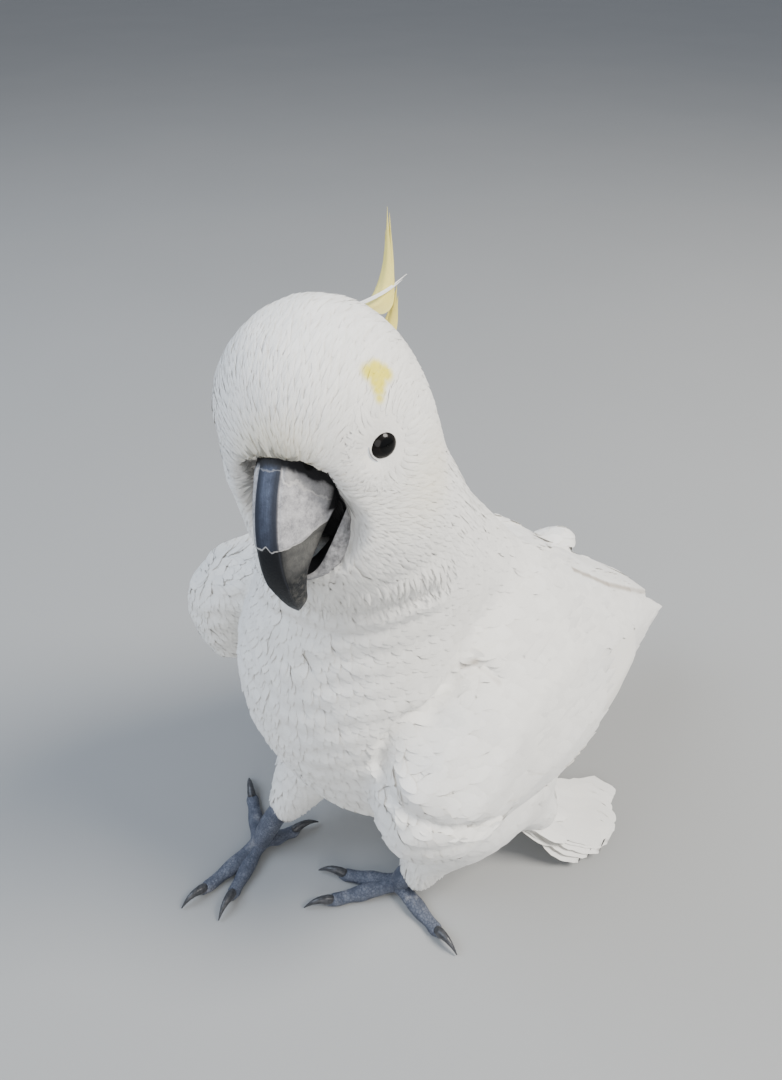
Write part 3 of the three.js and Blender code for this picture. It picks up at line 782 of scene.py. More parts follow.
def vaneShape(tipStart, tipLength, power, root, rootEnd):
    # half width along a vane as a share: narrow root, rounded tip
    def shape(v):
        tip = np.sqrt(np.clip(1 - np.clip((v - tipStart) / tipLength, 0, 1) ** power, 0, 1))
        return tip * (root + (1 - root) * ease(v, 0, rootEnd))
    return shape


softShape = vaneShape(0.42, 0.66, 2.4, 0.45, 0.45)
quillShape = vaneShape(0.80, 0.215, 2.6, 0.35, 0.3)
coverShape = vaneShape(0.66, 0.36, 2.2, 0.35, 0.3)
tailShape = vaneShape(0.93, 0.08, 3.0, 0.45, 0.4)


def hairShape(v):
    return (1 - 0.80 * v ** 1.9) * (0.6 + 0.4 * ease(v, 0, 0.3))


def plumeShape(v):
    return (0.35 + 0.65 * ease(v, 0, 0.35)) * np.clip(1 - v ** 2.6, 0.02, 1) ** 0.8


def scatter(hull, keepVertex, spacingOf, seed, dense=0.30):
    # points on an outline no closer than the local spacing
    rng = np.random.default_rng(seed)
    f = hull.faces[keepVertex[hull.faces].all(axis=1)]
    tri = np.vstack([f[:, [0, 1, 2]], f[:, [0, 2, 3]]])
    a, b, c = hull.verts[tri[:, 0]], hull.verts[tri[:, 1]], hull.verts[tri[:, 2]]
    area = np.linalg.norm(np.cross(b - a, c - a), axis=1) / 2
    space = spacingOf((a + b + c) / 3)
    wish = area / (space ** 2 * dense)
    count = int(wish.sum())
    pick = rng.choice(len(tri), count, p=wish / wish.sum())
    r = np.sqrt(rng.random(count))[:, None]
    q = rng.random(count)[:, None]
    pts = a[pick] * (1 - r) + b[pick] * r * (1 - q) + c[pick] * r * q
    gap = space[pick]
    keys = np.floor(pts / gap.max()).astype(int).tolist()
    cells, kept = {}, []
    near = [(i, j, k) for i in (-1, 0, 1) for j in (-1, 0, 1) for k in (-1, 0, 1)]
    for n, ((x, y, z), (kx, ky, kz)) in enumerate(zip(pts.tolist(), keys)):
        limit = gap[n] ** 2
        around = (q for i, j, k in near for q in cells.get((kx + i, ky + j, kz + k), ()))
        if all((px - x) ** 2 + (py - y) ** 2 + (pz - z) ** 2 >= limit for px, py, pz in around):
            cells.setdefault((kx, ky, kz), []).append((x, y, z))
            kept.append(n)
    return pts[kept], tri[pick[kept], 0]


def march(hull, roots, flow, lengths, rows):
    # walks each feather over the outline, so it bends with the body
    paths, normals = np.zeros((2, len(roots), rows, 3))
    for n, (p, d, length) in enumerate(zip(roots, flow, lengths)):
        place, normal, _, _ = hull.tree.find_nearest(Vector(p))
        d = Vector(d)
        step = length / (rows - 1)
        for r in range(rows):
            paths[n, r] = place
            normals[n, r] = normal
            d = d - normal * d.dot(normal)
            if d.length < 1e-6:
                d = Vector((0.3, 0.4, -0.8))
            d.normalize()
            if r + 1 < rows:
                place, normal, _, _ = hull.tree.find_nearest(place + d * step)
    # even out the facets of the outline
    evened(normals.swapaxes(0, 1), 2)
    return paths, unit(normals)


tailRoot = centreOf("tail")
eyeFaces = {side: eyeSpots(side)[0] + eyeSpots(side)[1] * eyePlan["radius"] * mm for side in (1, -1)}


def flowOver(points, which=None):
    # the lie of the coat: away from the bill over the head, then down and back
    l, f, u = toHead(points)
    away = np.sqrt(l ** 2 + (f - 30) ** 2 + (u + 10) ** 2)
    share = ease(away, 34, 78)[:, None]
    flow = unit(points - atHead(0, 30, -10)) * (1 - share) + np.array([0.05, 0.60, -0.80]) * share
    for spot in eyeFaces.values():
        gap = np.linalg.norm(points - spot, axis=1)
        turn = ease(gap, 15 * mm, 6.5 * mm)[:, None]
        flow = flow * (1 - 0.8 * turn) + unit(points - spot) * turn * 0.9
    vent = ease(np.linalg.norm(points - tailRoot, axis=1), 0.075, 0.035)[:, None]
    flow = flow * (1 - vent) + np.array([0.55, 0.65, -0.5]) * vent
    flow = unit(flow)
    if which is not None:
        for name, wing in wings.items():
            toWing = gapTo(wingHulls[name].tree, points)
            own = (ease(toWing, 0.010, 0.002) * ease(wingShare(wing, points), -0.05, 0.04))[:, None]
            flow = flow * (1 - own) + unit(unit(wing["tip"] - points) + np.array([0, 0, -0.25])) * own
        for name in ("shin_left", "shin_right"):
            mine = which == body.names.index(name)
            flow[mine] = unit(flow[mine] * 0.3 + np.array([0, 0.05, -1.0]))
    return unit(flow)


# upper bill: sections across an arc, ridge above, cutting edge below

billPlan = {
    "arc": 40.0, "forward": 11.2, "up": -26.3, "rings": 110, "half": 44,
    "turn": [18, 35, 52, 71, 90, 102, 108, 114, 124, 131, 136],
    "deep": [23, 25, 26, 25.6, 22.3, 17.6, 12.8, 8.8, 5.8, 4.0, 1.0],
    "wide": [13.0, 13.6, 13.8, 12.6, 10.6, 9.1, 7.9, 6.7, 5.2, 4.0, 1.2],
    "root": 50.0, "growth": 89.0,
}


def upperBill():
    first, last = billPlan["turn"][0], billPlan["turn"][-1]
    a = np.linspace(first, last, billPlan["rings"])
    a = last - (last - a) ** 1.15 / (last - first) ** 0.15
    deep, wide = (smoothAt(a, billPlan["turn"], billPlan[key])[:, None] for key in ("deep", "wide"))
    ridge = np.minimum(3.5, wide * (0.62 - 0.22 * ease(a, 96, 122)[:, None]))
    # section: shares of the ridge, of the width past it and of the depth, ridge centre to middle below
    onRidge = [0, 0.5, 1.0, 1.0, 1.0, 1.0, 1.0, 0.9, 0.62, 0.3, 0]
    past = [0, 0, 0, 0.16, 0.42, 0.72, 0.96, 1.0, 0.86, 0.45, 0]
    below = [0, 0.006, 0.030, 0.085, 0.30, 0.60, 0.88, 1.0, 0.98, 0.86, 0.80]
    onRidge, past, below = smoothCurve(np.stack([onRidge, past, below], -1), billPlan["half"]).T
    xs = ridge * onRidge + (wide - ridge) * past
    ys = deep * below
    # plates bow out a little, a fine groove runs beside the ridge
    xs = xs + 0.8 * np.sin(np.clip(below, 0, 1) * math.pi) * (wide / 15.6)
    ys = ys + 0.35 * np.exp(-((xs - ridge - 0.5) / 0.5) ** 2) * (below < 0.3)
    step = 0.38 * ease(a, billPlan["growth"] - 0.6, billPlan["growth"] + 0.6)[:, None]
    cere = 0.5 * ease(a, 60, 54)[:, None]
    ys = ys + step - cere * ease(below, 0.02, 0.2)
    xs = np.where(below > 0.05, xs - step * 0.6, xs)
    r = billPlan["arc"] - ys
    turn = np.radians(a)[:, None]
    forward = billPlan["forward"] + r * np.sin(turn)
    up = billPlan["up"] + r * np.cos(turn)
    left = np.concatenate([xs, -xs[:, -2:0:-1]], axis=1) - 1.3 * (1 - ease(a, 100, 134))[:, None]
    forward, up = (np.concatenate([part, part[:, -2:0:-1]], axis=1) for part in (forward, up))
    around = np.linspace(0, 1, billPlan["half"])
    around = np.concatenate([around, around[-2:0:-1]])
    uv = np.stack(np.broadcast_arrays(around, a[:, None] / last), -1)
    return atHead(left, forward, up).reshape(-1, 3), gridFaces(*left.shape, True)[:, ::-1], uv


def hornMaterial():
    m, t, b = newMaterial("bill_horn", Specular_IOR_Level=0.22)
    around, along = mapParts(t, "hornMap")
    degrees = along * billPlan["turn"][-1]
    place = placeIn(t)
    cloud, fine = noiseAt(place, 300, 6, 0.68), noiseAt(place, 1700, 4, 0.7)
    drift = noiseAt(place, 190, 3) - 0.5
    ridge = falling(around, 0.185, 0.225)
    tone = cloud * 0.7 + fine * 0.3
    powder = mixColour(remap(tone, 0.34, 0.62), (0.17, 0.17, 0.18), (0.50, 0.49, 0.50))
    # painted highlight: a bluish sheen in streaks along the ridge, with painted shade past its middle and
    # toward the tip
    streak = noiseAt(pair(around * 70.0, along * 9.0), 1.0, 4, 0.6)
    sheenStreaks = remap(streak * 0.35 + tone * 0.65, 0.36, 0.66)
    ridgeSheen = mixColour(sheenStreaks, (0.026, 0.031, 0.048), (0.090, 0.110, 0.160))
    ridgeSheen = mixColour(rising(degrees, 66, 88, 0.6), ridgeSheen, (0.020, 0.024, 0.036))
    ridgeSheen = mixColour(rising(around + drift * 0.05, 0.05, 0.16, 0.85), ridgeSheen, (0.018, 0.021, 0.030))
    colour = mixColour(ridge, powder, ridgeSheen)
    # growth line and the darker, glossier horn beyond it
    growth = billPlan["growth"]
    line = degrees + falling(around, 0.0, 0.10, 2.6) - drift * 5.0 + remap(around, 0.45, 0.55) * 5.0
    low = rising(line, growth - 0.5, growth + 0.5)
    plate = mixColour(remap(tone, 0.3, 0.7), (0.034, 0.035, 0.036), (0.135, 0.132, 0.122))
    scuff = remap(noiseAt(place, 430, 7, 0.78), 0.50, 0.66)
    worn = scuff * remap(degrees, 104, 122, 0.1, 0.7) * remap(around, 0.22, 0.42)
    black = mixColour(worn, (0.005, 0.006, 0.008), (0.17, 0.16, 0.14))
    tip = mixColour(rising(around, 0.16, 0.44), black, mixColour(rising(degrees, 101, 112), plate, black))
    colour = mixColour(low, colour, tip)
    seam = falling(calc("ABSOLUTE", line - growth), 0.15, 0.65)
    # pale broken edge between the soft root band and the side plate
    edge = degrees + drift * 15.0 - remap(around, 0.22, 0.60, -2.0, 12.0)
    notRidge = 1.0 - ridge
    crack = falling(calc("ABSOLUTE", edge - 54.0), 0.3, 1.3) * notRidge
    band = falling(edge, 52.5, 55.0) * notRidge
    colour = mixColour(band * 0.7, colour, mixColour(tone, (0.12, 0.12, 0.122), (0.46, 0.45, 0.445)))
    colour = mixColour(crack * 0.8, colour, (0.52, 0.50, 0.49))
    colour = mixColour(seam * 0.85, colour, (0.50, 0.49, 0.48))
    # painted shade in the fine groove beside the ridge
    grooveShade = falling(calc("ABSOLUTE", around - 0.205), 0.004, 0.022, 0.6)
    colour = mixColour(grooveShade * remap(degrees, 60, 70), colour, (0.02, 0.022, 0.03))
    # thin pale edge at the top of the ridge
    brim = falling(calc("ABSOLUTE", degrees - calc("ADD", 53.0, drift * 9.0)), 0.1, 0.5, 0.3)
    colour = mixColour(brim * ridge, colour, (0.42, 0.42, 0.44))
    # painted shade where the bill goes in under the feathers, with a dark dirty edge
    root = falling(degrees + drift * 8.0, billPlan["root"], billPlan["root"] + 3)
    colour = mixColour(root, colour, (0.018, 0.018, 0.02))
    # painted shade: the nostril holes are near-black spots
    for side in (1, -1):
        nostrilShade = blob(place, atHead(side * 7.8, 34.0, -3.2), 1.9 * mm, 0.7 * mm)
        colour = mixColour(nostrilShade, colour, (0.004, 0.004, 0.004))
    # painted shade: near-black along the cutting edge and underside, where the gap to the lower bill lies
    corner = remap(around, 0.53, 0.57) * remap(degrees, 77, 72)
    colour = mixColour(calc("MAXIMUM", rising(around, 0.60, 0.64), corner), colour, (0.006, 0.006, 0.007))
    grain = noiseAt(pair(around * 22.0, along * 80.0), 1.4, 4, 0.6)
    height = tone - (seam * 1.0 + crack * 0.8)
    fillInputs(b, Base_Color=colour, Roughness=remap(fine, 0.2, 0.8, 0.50, 0.75) - low * 0.22,
               Normal=bump(height, 0.45, 0.0004, bump(grain, 0.3, 0.0005)))
    return m


billVerts, billFaces, billUv = upperBill()
bill = addObject("upper_bill", billVerts, billFaces, hornMaterial(),
                 {"OFBake": billUv, "hornMap": billUv})
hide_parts("bill_upper")
billTree = treeOf(billVerts, billFaces)


# lower bill: rim, outer wall and floor round a U

jawPlan = {
    "narrow": 0.88, "shift": (0, 1.0, 3.3), "rows": 31, "columns": 49,
    # left half of each line, from the middle outward
    "inner": [(0, 30, -44), (4, 28, -42), (8, 21, -38), (11, 12, -32)],
    "lip": [(0, 34.0, -46.4), (7.0, 32.0, -43.4), (14.0, 26.5, -31.0), (16.4, 15, -21.5)],
    "rim": [(0, 35.0, -46.2), (7.8, 33.0, -43.2), (15.2, 27.4, -30.4), (17.8, 15, -20.5)],
    "wall": [(0, 35.4, -47.6), (8.2, 33.4, -45.6), (16.4, 27.8, -38.6), (18.8, 15, -31.0)],
    "base": [(0, 33.0, -48.6), (7.0, 31.0, -47.8), (14.2, 26.5, -45.4), (16.8, 14, -40.0)],
    "chin": [(0, 26, -48.0), (5.0, 24, -47.4), (8.0, 18, -46.0), (10, 10, -43.0)],
}


def lowerBill():
    rows, columns = jawPlan["rows"], jawPlan["columns"]
    full = []
    for key in ("inner", "lip", "rim", "wall", "base", "chin"):
        half = np.array(jawPlan[key], float)
        full.append(smoothCurve(np.vstack([half[:0:-1] * [-1, 1, 1], half]), columns))
    grid = smoothCurve(np.array(full), rows) * [jawPlan["narrow"], 1, 1] + jawPlan["shift"]
    verts = atHead(*(grid[..., k].ravel() for k in range(3)))
    u, v = np.abs(np.linspace(-1, 1, columns)), np.linspace(0, 1, rows)[:, None]
    return verts, gridFaces(rows, columns), np.stack(np.broadcast_arrays(u, v), -1)


def jawMaterial():
    m, t, b = newMaterial("jaw_horn", Roughness=0.55, Specular_IOR_Level=0.4)
    place = placeIn(t)
    around, along = mapParts(t, "hornMap")
    tone, fine = noiseAt(place, 420, 6, 0.68), noiseAt(place, 1700, 4, 0.7)
    colour = mixColour(remap(tone, 0.34, 0.66), (0.12, 0.12, 0.125), (0.40, 0.395, 0.40))
    # painted shade: darker and bluish under the chin, near-black inside the mouth, darker at the back ends
    # under the feathers
    for share, dark in ((rising(along, 0.78, 0.92), (0.05, 0.055, 0.07)),
                        (falling(along, 0.27, 0.31), (0.005, 0.005, 0.006)),
                        (rising(around, 0.80, 0.95), (0.03, 0.032, 0.04))):
        colour = mixColour(share, colour, dark)
    fillInputs(b, Base_Color=colour, Normal=bump(tone + fine * 0.4, 0.4, 0.0004))
    return m


jawVerts, jawFaces, jawUv = lowerBill()
jaw = addObject("lower_bill", jawVerts, jawFaces, jawMaterial(),
                {"OFBake": jawUv, "hornMap": jawUv})
jawTree = treeOf(jawVerts, jawFaces)
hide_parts("bill_lower")
print("bill")


# eyes: glossy balls behind almond lids of bare skin

def eyeMaterial():
    m, t, b = newMaterial("eye_gloss", Roughness=0.3, Coat_Weight=0.30, Coat_Roughness=0.03,
                          Specular_IOR_Level=0.05)
    u, v = mapParts(t, "eyeMap")
    rays = noiseAt(pair(u * 60.0, v * 6.0), 1.0, 3)
    iris = mixColour(rays, (0.002, 0.0025, 0.002), (0.010, 0.007, 0.006))
    fillInputs(b, Base_Color=mixColour(falling(v, 0.10, 0.115), iris, (0.002, 0.002, 0.002)))
    return m


def lidMaterial():
    m, t, b = newMaterial("eye_skin", Roughness=0.5, Subsurface_Weight=0.2, Subsurface_Scale=0.002)
    around, out = mapParts(t, "lidMap")
    tone = noiseAt(placeIn(t), 700, 4, 0.6)
    pale = mixColour(remap(tone, 0.3, 0.7), (0.70, 0.755, 0.80), (0.86, 0.88, 0.90))
    folds = noiseAt(pair(out * 16.0, around * 3.0), 1.0, 3)
    fillInputs(b, Base_Color=mixColour(falling(out, 0.02, 0.10), pale, (0.16, 0.16, 0.17)),
               Normal=bump(folds + tone * 0.3, 0.6, 0.0005))
    return m


def eyeFrame(side):
    centre, axis = eyeSpots(side)
    rise = unit(headUp - axis * (headUp @ axis))
    back = np.cross(rise, axis) * side
    if back @ headForward > 0:
        back = -back
    return centre, axis, rise, back


def onEye(frameOf, polar, angle, radius):
    # angle 0 points to the back corner, 90 up
    centre, axis, rise, back = frameOf
    out = back * np.cos(angle)[..., None] + rise * np.sin(angle)[..., None]
    ray = axis * np.cos(polar)[..., None] + out * np.sin(polar)[..., None]
    return centre + ray * (radius * mm)[..., None]


def polarGrid(low, high, rows, cols):
    # a value running down the rows, and an angle running round
    turn = np.linspace(0, 2 * math.pi, cols, endpoint=False)
    return np.meshgrid(np.linspace(low, high, rows), turn, indexing="ij")


def makeEye(side, label, gloss, skin):
    axes = eyeFrame(side)
    degrees, angle = polarGrid(0.5, 178, 60, 64)
    swell = 0.45 * ease(degrees, 46, 18)
    verts = onEye(axes, np.radians(degrees), angle, eyePlan["radius"] + swell)
    uv = np.stack([angle / (2 * math.pi), degrees / 180], -1)
    eyeball = addObject("eyeball_" + label, verts, gridFaces(*angle.shape, True)[:, ::side], gloss,
                        {"OFBake": uv, "eyeMap": uv})
    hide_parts("eye_" + label)
    # lids, wider toward both corners, with a thick rim and fine folds
    out, angle = polarGrid(0, 1, 26, 96)
    corner = (np.clip(np.cos(angle - 0.8), 0, 1) ** 6 * 13
              + np.clip(np.cos(angle - 0.8 - math.pi), 0, 1) ** 4 * 3)
    inner = 42 + corner - 3.0 * np.sin(angle - 0.3) ** 2
    folds = 0.16 * np.sin(out * 26 + 1.5 * np.sin(angle * 2)) * ease(out, 0.1, 0.3) * ease(out, 1.0, 0.7)
    folds = folds * (0.5 + 0.5 * np.cos(angle + 2.2))
    rim = np.sqrt(np.clip(1 - (1 - np.clip(out / 0.12, 0, 1)) ** 2, 0, 1))
    radius = eyePlan["radius"] + 0.15 + 0.75 * rim + 0.15 * out + folds
    radius = radius + 0.25 * ease(np.abs(out - 0.10), 0.08, 0.0) + 0.55 * ease(out, 0.1, 0.35)
    verts = onEye(axes, np.radians(inner + (84 - inner) * out), angle, radius)
    addObject("eyelids_" + label, verts, gridFaces(*angle.shape, True)[:, ::side], skin,
              {"OFBake": np.stack([angle / 6.3, out], -1), "lidMap": np.stack([angle, out], -1)})


eyeGloss, lidSkin = eyeMaterial(), lidMaterial()
makeEye(1, "left", eyeGloss, lidSkin)
makeEye(-1, "right", eyeGloss, lidSkin)
print("eyes")


# coat: short on the head, longer on the body, tufts under the cheeks, down on the shins

def clearOfFace(points):
    # false where a feather would root on an eye or in the bill
    keep = np.ones(len(points), bool)
    beside = np.abs(toHead(points)[0]) > 12.0
    for spot in eyeFaces.values():
        keep &= np.linalg.norm(points - spot, axis=1) > 7.7 * mm
    for tree, deepest in ((billTree, 9 * mm), (jawTree, 2.5 * mm)):
        for n, p in enumerate(points):
            place, normal, _, gap = tree.find_nearest(Vector(p))
            inside = (Vector(p) - place).dot(normal) < 0 and gap < deepest
            if gap < 0.4 * mm or (inside and not beside[n]):
                keep[n] = False
    return keep


# seeds of the feathers and of their places; length and half-width as least and random part, in gaps or mm;
# lift of the tip as least, random part and power, in mm; depth of the root in mm and its power
coatPlans = {
    "head_coat": {"seeds": (11, 3), "rows": 5, "columns": 4, "shape": hairShape, "length": (4.4, 1.8),
                  "half": (0.60, 0.25), "stray": 0.10, "lift": (0.02, 0.10, 3), "curl": 2, "sunk": (0.42, 1.3),
                  "cup": 0.12, "ragged": 0.22, "keep": 0.85, "nearGap": 1.0, "farGap": 2.4},
    "ruff_tufts": {"seeds": (29, 23), "rows": 7, "columns": 5, "shape": hairShape, "length": (7.0, 4.5),
                   "half": (0.85, 0.5), "stray": 0.16, "lift": (0.5, 1.6, 1), "curl": 1.5, "sunk": (0.3, 1),
                   "cup": 0.25, "ragged": 0.25, "keep": 0.6, "nearGap": 2.3},
    "body_coat": {"seeds": (17, 7), "rows": 7, "columns": 9, "shape": softShape, "length": (3.8, 1.0),
                  "half": (0.85, 0.2), "stray": 0.09, "lift": (0.02, 0.34, 3), "curl": 2, "sunk": (0.8, 1.4),
                  "cup": 0.05, "ragged": 0.13, "keep": 0.75, "nearGap": 2.4, "farGap": 4.3},
    "shin_coat": {"seeds": (23, 9), "rows": 5, "columns": 4, "shape": hairShape, "length": (4.2, 1.6),
                  "half": (0.6, 0.25), "stray": 0.12, "lift": (0, 0.5, 1), "curl": 2, "sunk": (0.6, 1),
                  "cup": 0.2, "ragged": 0.25, "keep": 0.7, "nearGap": 2.0},
}
mostTriangles = 195000  # in one piece of the coat
lowestCoat = 4 * mm


def headGap(p):
    plan = coatPlans["head_coat"]
    l, f, u = toHead(p)
    away = np.sqrt(l ** 2 + (f - 34) ** 2 + (u + 8) ** 2)
    return (plan["nearGap"] + (plan["farGap"] - plan["nearGap"]) * ease(away, 12, 85)) * mm


def bodyGap(p):
    plan = coatPlans["body_coat"]
    far = ease(-toHead(p)[2], 58, 130)
    base = plan["nearGap"] + (plan["farGap"] - plan["nearGap"]) * far
    for wing in wings.values():
        s = wingShare(wing, p)
        base = base - 1.2 * ease(s, 0.22, 0.02) * ease(s, -0.12, -0.02) * far
    return (base - 1.3 * ease(p[:, 2] / mm, 75, 40)) * mm


def billEdgeSoilAndShade(pts, rng):
    # darker where the feathers meet the bill: partly dirt, partly painted shade of the gap at the bill
    bright = 0.92 + 0.08 * rng.random(len(pts))
    near = gapTo(billTree, pts) / mm + rng.normal(0, 0.5, len(pts))
    return bright * (0.42 + 0.58 * ease(near, 0.4, 3.4))


def layCoat(name, mask, gapOf=None):
    plan = coatPlans[name]
    byHead, ruff = name == "head_coat", name == "ruff_tufts"
    rng = np.random.default_rng(plan["seeds"][0])
    gapOf = gapOf or (lambda p: np.full(len(p), plan["nearGap"] * mm))
    pts, vert = scatter(body, mask, gapOf, plan["seeds"][1])
    if byHead or ruff:
        pts = pts[clearOfFace(pts)]
    flow = flowOver(pts, None if byHead or ruff else body.which[vert])
    if ruff:
        flow = flow * 0.6 - headUp * 0.7
    scale = mm if ruff else gapOf(pts)
    count, rows, columns = len(pts), plan["rows"], plan["columns"]
    lengths = scale * (plan["length"][0] + plan["length"][1] * rng.random(count))
    paths, normals = march(body, pts, unit(flow + rng.normal(0, plan["stray"], pts.shape)), lengths, rows)
    paths[..., 2] = np.maximum(paths[..., 2], lowestCoat)
    v = np.linspace(0, 1, rows)
    least, spare, power = plan["lift"]
    lift = (least + spare * rng.random(count) ** power) * mm
    height = -plan["sunk"][0] * mm * (1 - v) ** plan["sunk"][1] + lift[:, None] * v ** plan["curl"]
    half = scale * (plan["half"][0] + plan["half"][1] * rng.random(count))
    tone = billEdgeSoilAndShade(pts, rng) if byHead else None
    size = int(mostTriangles / (2 * (rows - 1) * (columns - 1)))
    for number, k in enumerate(range(0, count, size), 1):
        part = slice(k, k + size)
        pile = FeatherPile()
        pile.add(paths[part], normals[part], half[part], plan["shape"], columns, rng, plan["cup"],
                 plan["ragged"], height[part], None if tone is None else tone[part])
        pile.finish("%s_%d" % (name, number), coatMaterial, plan["keep"])


def coatMasks():
    # which points of the outline each coat covers
    l, f, u = toHead(body.verts)
    upper = body.isNode("head") | body.isNode("neck")
    shins = body.isNode("shin_left") | body.isNode("shin_right")
    ruff = (u > -68) & (u < -50) & (f > -12) & (np.abs(l) < 40)
    rest = ((u <= -60) | ~upper) & ~shins
    beside = body.normals[:, 2] < wingCut["faceUp"]
    for name, wing in wings.items():
        share = wingShare(wing, body.verts)
        onIt = gapTo(wingHulls[name].tree, body.verts) < wingCut["near"]
        flight = (share > wingCut["coat"]) & onIt & beside
        rest &= ~(body.isNode(name) & (flight | (share > wingCut["edges"])))
    return upper & (u > -68), ruff, rest, shins


headMask, ruffMask, bodyMask, shinMask = coatMasks()
layCoat("head_coat", headMask, headGap)
layCoat("ruff_tufts", ruffMask)
layCoat("body_coat", bodyMask, bodyGap)
layCoat("shin_coat", shinMask)


# wings: rows of coverts and flight feathers behind the bend

def rowOf(wing, count, root, tip, rows, rng):
    # root and tip: (s at low edge, s at high edge, t low, t high)
    k, v = np.linspace(0, 1, count)[:, None], np.linspace(0, 1, rows)
    s0 = root[0] + (root[1] - root[0]) * k + rng.normal(0, 0.006, (count, 1))
    s1 = tip[0] + (tip[1] - tip[0]) * k + rng.normal(0, 0.010, (count, 1))
    t0, t1 = (ends[2] + (ends[3] - ends[2]) * k for ends in (root, tip))
    return onWing(wing, s0 + (s1 - s0) * v, t0 + (t1 - t0) * v ** 1.2)


flightPlan = [
    # name, count, roots (s low, s high, t low, t high), tips, half-width, height and rise mm, rows, columns
    ("primaries", 9, (0.30, 0.36, 0.10, 0.40), (0.80, 1.00, 0.02, 0.62), 8.0, -2.6, 0.5, 22, 9),
    ("secondaries", 10, (0.28, 0.40, 0.10, 0.92), (0.66, 0.86, 0.06, 0.93), 9.5, -1.6, 0.6, 18, 9),
    ("tertials", 5, (0.34, 0.40, 0.60, 0.98), (0.80, 0.90, 0.62, 0.97), 10.0, -0.6, 0.6, 18, 9),
    ("greater_coverts", 12, (0.24, 0.30, 0.04, 0.98), (0.53, 0.63, 0.05, 0.97), 6.6, -0.5, 1.2, 14, 9),
    ("median_coverts", 14, (0.20, 0.26, 0.02, 0.99), (0.43, 0.52, 0.03, 0.98), 5.6, 0.1, 1.1, 13, 9),
    ("lesser_coverts", 17, (0.16, 0.22, 0.02, 0.99), (0.345, 0.43, 0.02, 0.99), 4.8, 0.5, 0.9, 12, 9),
]


def flightFeathers(name, seed):
    rng = np.random.default_rng(seed)
    wing = wings[name]
    pile = FeatherPile()
    for label, count, root, tip, half, height, rise, rows, columns in flightPlan:
        paths, normals = rowOf(wing, count, root, tip, rows, rng)
        v = np.linspace(0, 1, rows)
        stack = np.linspace(-0.35, 0.35, count) + rng.normal(0, 0.08, count)
        h = (height + stack)[:, None] * mm + rise * mm * v ** 2
        paths = paths + normals * h[..., None]
        paths[..., 2] = np.maximum(paths[..., 2], 3 * mm)
        wide = np.full(count, half * mm) * (1 + rng.normal(0, 0.04, count))
        bright = 0.88 + 0.11 * rng.random(count)
        shape = coverShape if "coverts" in label else quillShape
        pile.add(paths, normals, wide, shape, columns, rng, cup=0.11, ragged=0.02, tone=bright, rib=0.4 * mm,
                 blunt=0.09)
    return pile.finish(name + "_flight", quillMaterial, 0.45)


flightFeathers("wing_left", 36)
flightFeathers("wing_right", 46)


# tail: a low fan of broad feathers with coverts over and under the root

tailPlan = {"count": 9, "coverts": 22, "half": 12.5, "spread": 27.0, "rows": 30,
            "spine": [(30, 92, 58), (50, 110, 33), (70, 134, 9.5), (90, 164, 3.0)],
            "shift": (-0.0062968, -0.103358, 0)}


def tailFan():
    rng = np.random.default_rng(51)
    shift = np.array(tailPlan["shift"])
    rows = tailPlan["rows"]
    spine = smoothCurve(np.array(tailPlan["spine"]) * mm, rows) + shift
    along = unit(np.gradient(spine, axis=0))
    across = unit(np.stack([-along[:, 1], along[:, 0], 0 * along[:, 0]], -1))
    upward = np.cross(along, across)
    upward = np.where(upward[:, 2:] < 0, -upward, upward)
    k = np.linspace(-1, 1, tailPlan["count"])
    v = np.linspace(0, 1, rows)
    wide = (7 + (tailPlan["spread"] - 7) * v) * mm
    pile = FeatherPile()
    for rank, i in enumerate(np.argsort(-np.abs(k))):
        cut = 8 * (1 - k[i] ** 2) + 26 * max(-k[i], 0) ** 1.4 + rng.random() * 4
        aside = across * (k[i] * wide * (0.42 if k[i] < 0 else 1.0))[:, None]
        level = (-1.0 + rank * 0.2 + 1.4 * (1 - k[i] ** 2) * v) * mm
        path = spine + aside - along * (cut * v * mm)[:, None] + upward * level[:, None]
        path[:, 2] = np.maximum(path[:, 2], (1.2 + 0.2 * rank) * mm)
        half = tailPlan["half"] * (1 + rng.normal(0, 0.06))
        pile.add(path[None], upward[None], np.array([half * mm]), tailShape, 13, rng,
                 cup=0.03, ragged=0.02, rib=0.3 * mm, blunt=0.05, tone=np.array([0.90 + 0.08 * rng.random()]))
    # coverts, above and then below
    for length, face in ((40, 1), (34, -1)):
        for _ in range(tailPlan["coverts"]):
            a = rng.uniform(-1, 1)
            x = np.clip(rng.uniform(0.0, 0.30) + np.linspace(0, length / 110, 9), 0, 1)
            aside = readAt(x, v, across) * (a * (9 + 16 * x) * mm)[:, None]
            lift = readAt(x, v, upward) * face
            path = readAt(x, v, spine) + aside + lift * ((3.2 - 2.0 * x + rng.random() * 0.8) * mm)[:, None]
            path[:, 2] = np.maximum(path[:, 2], 1.0 * mm)
            pile.add(path[None], unit(lift)[None], np.array([6.5 * mm]), softShape, 9, rng,
                     cup=0.10, ragged=0.06)
    return pile.finish("tail_fan", quillMaterial, 0.5)


fan = tailFan()
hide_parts("tail")


# crest: narrow feathers curving back and up from the crown

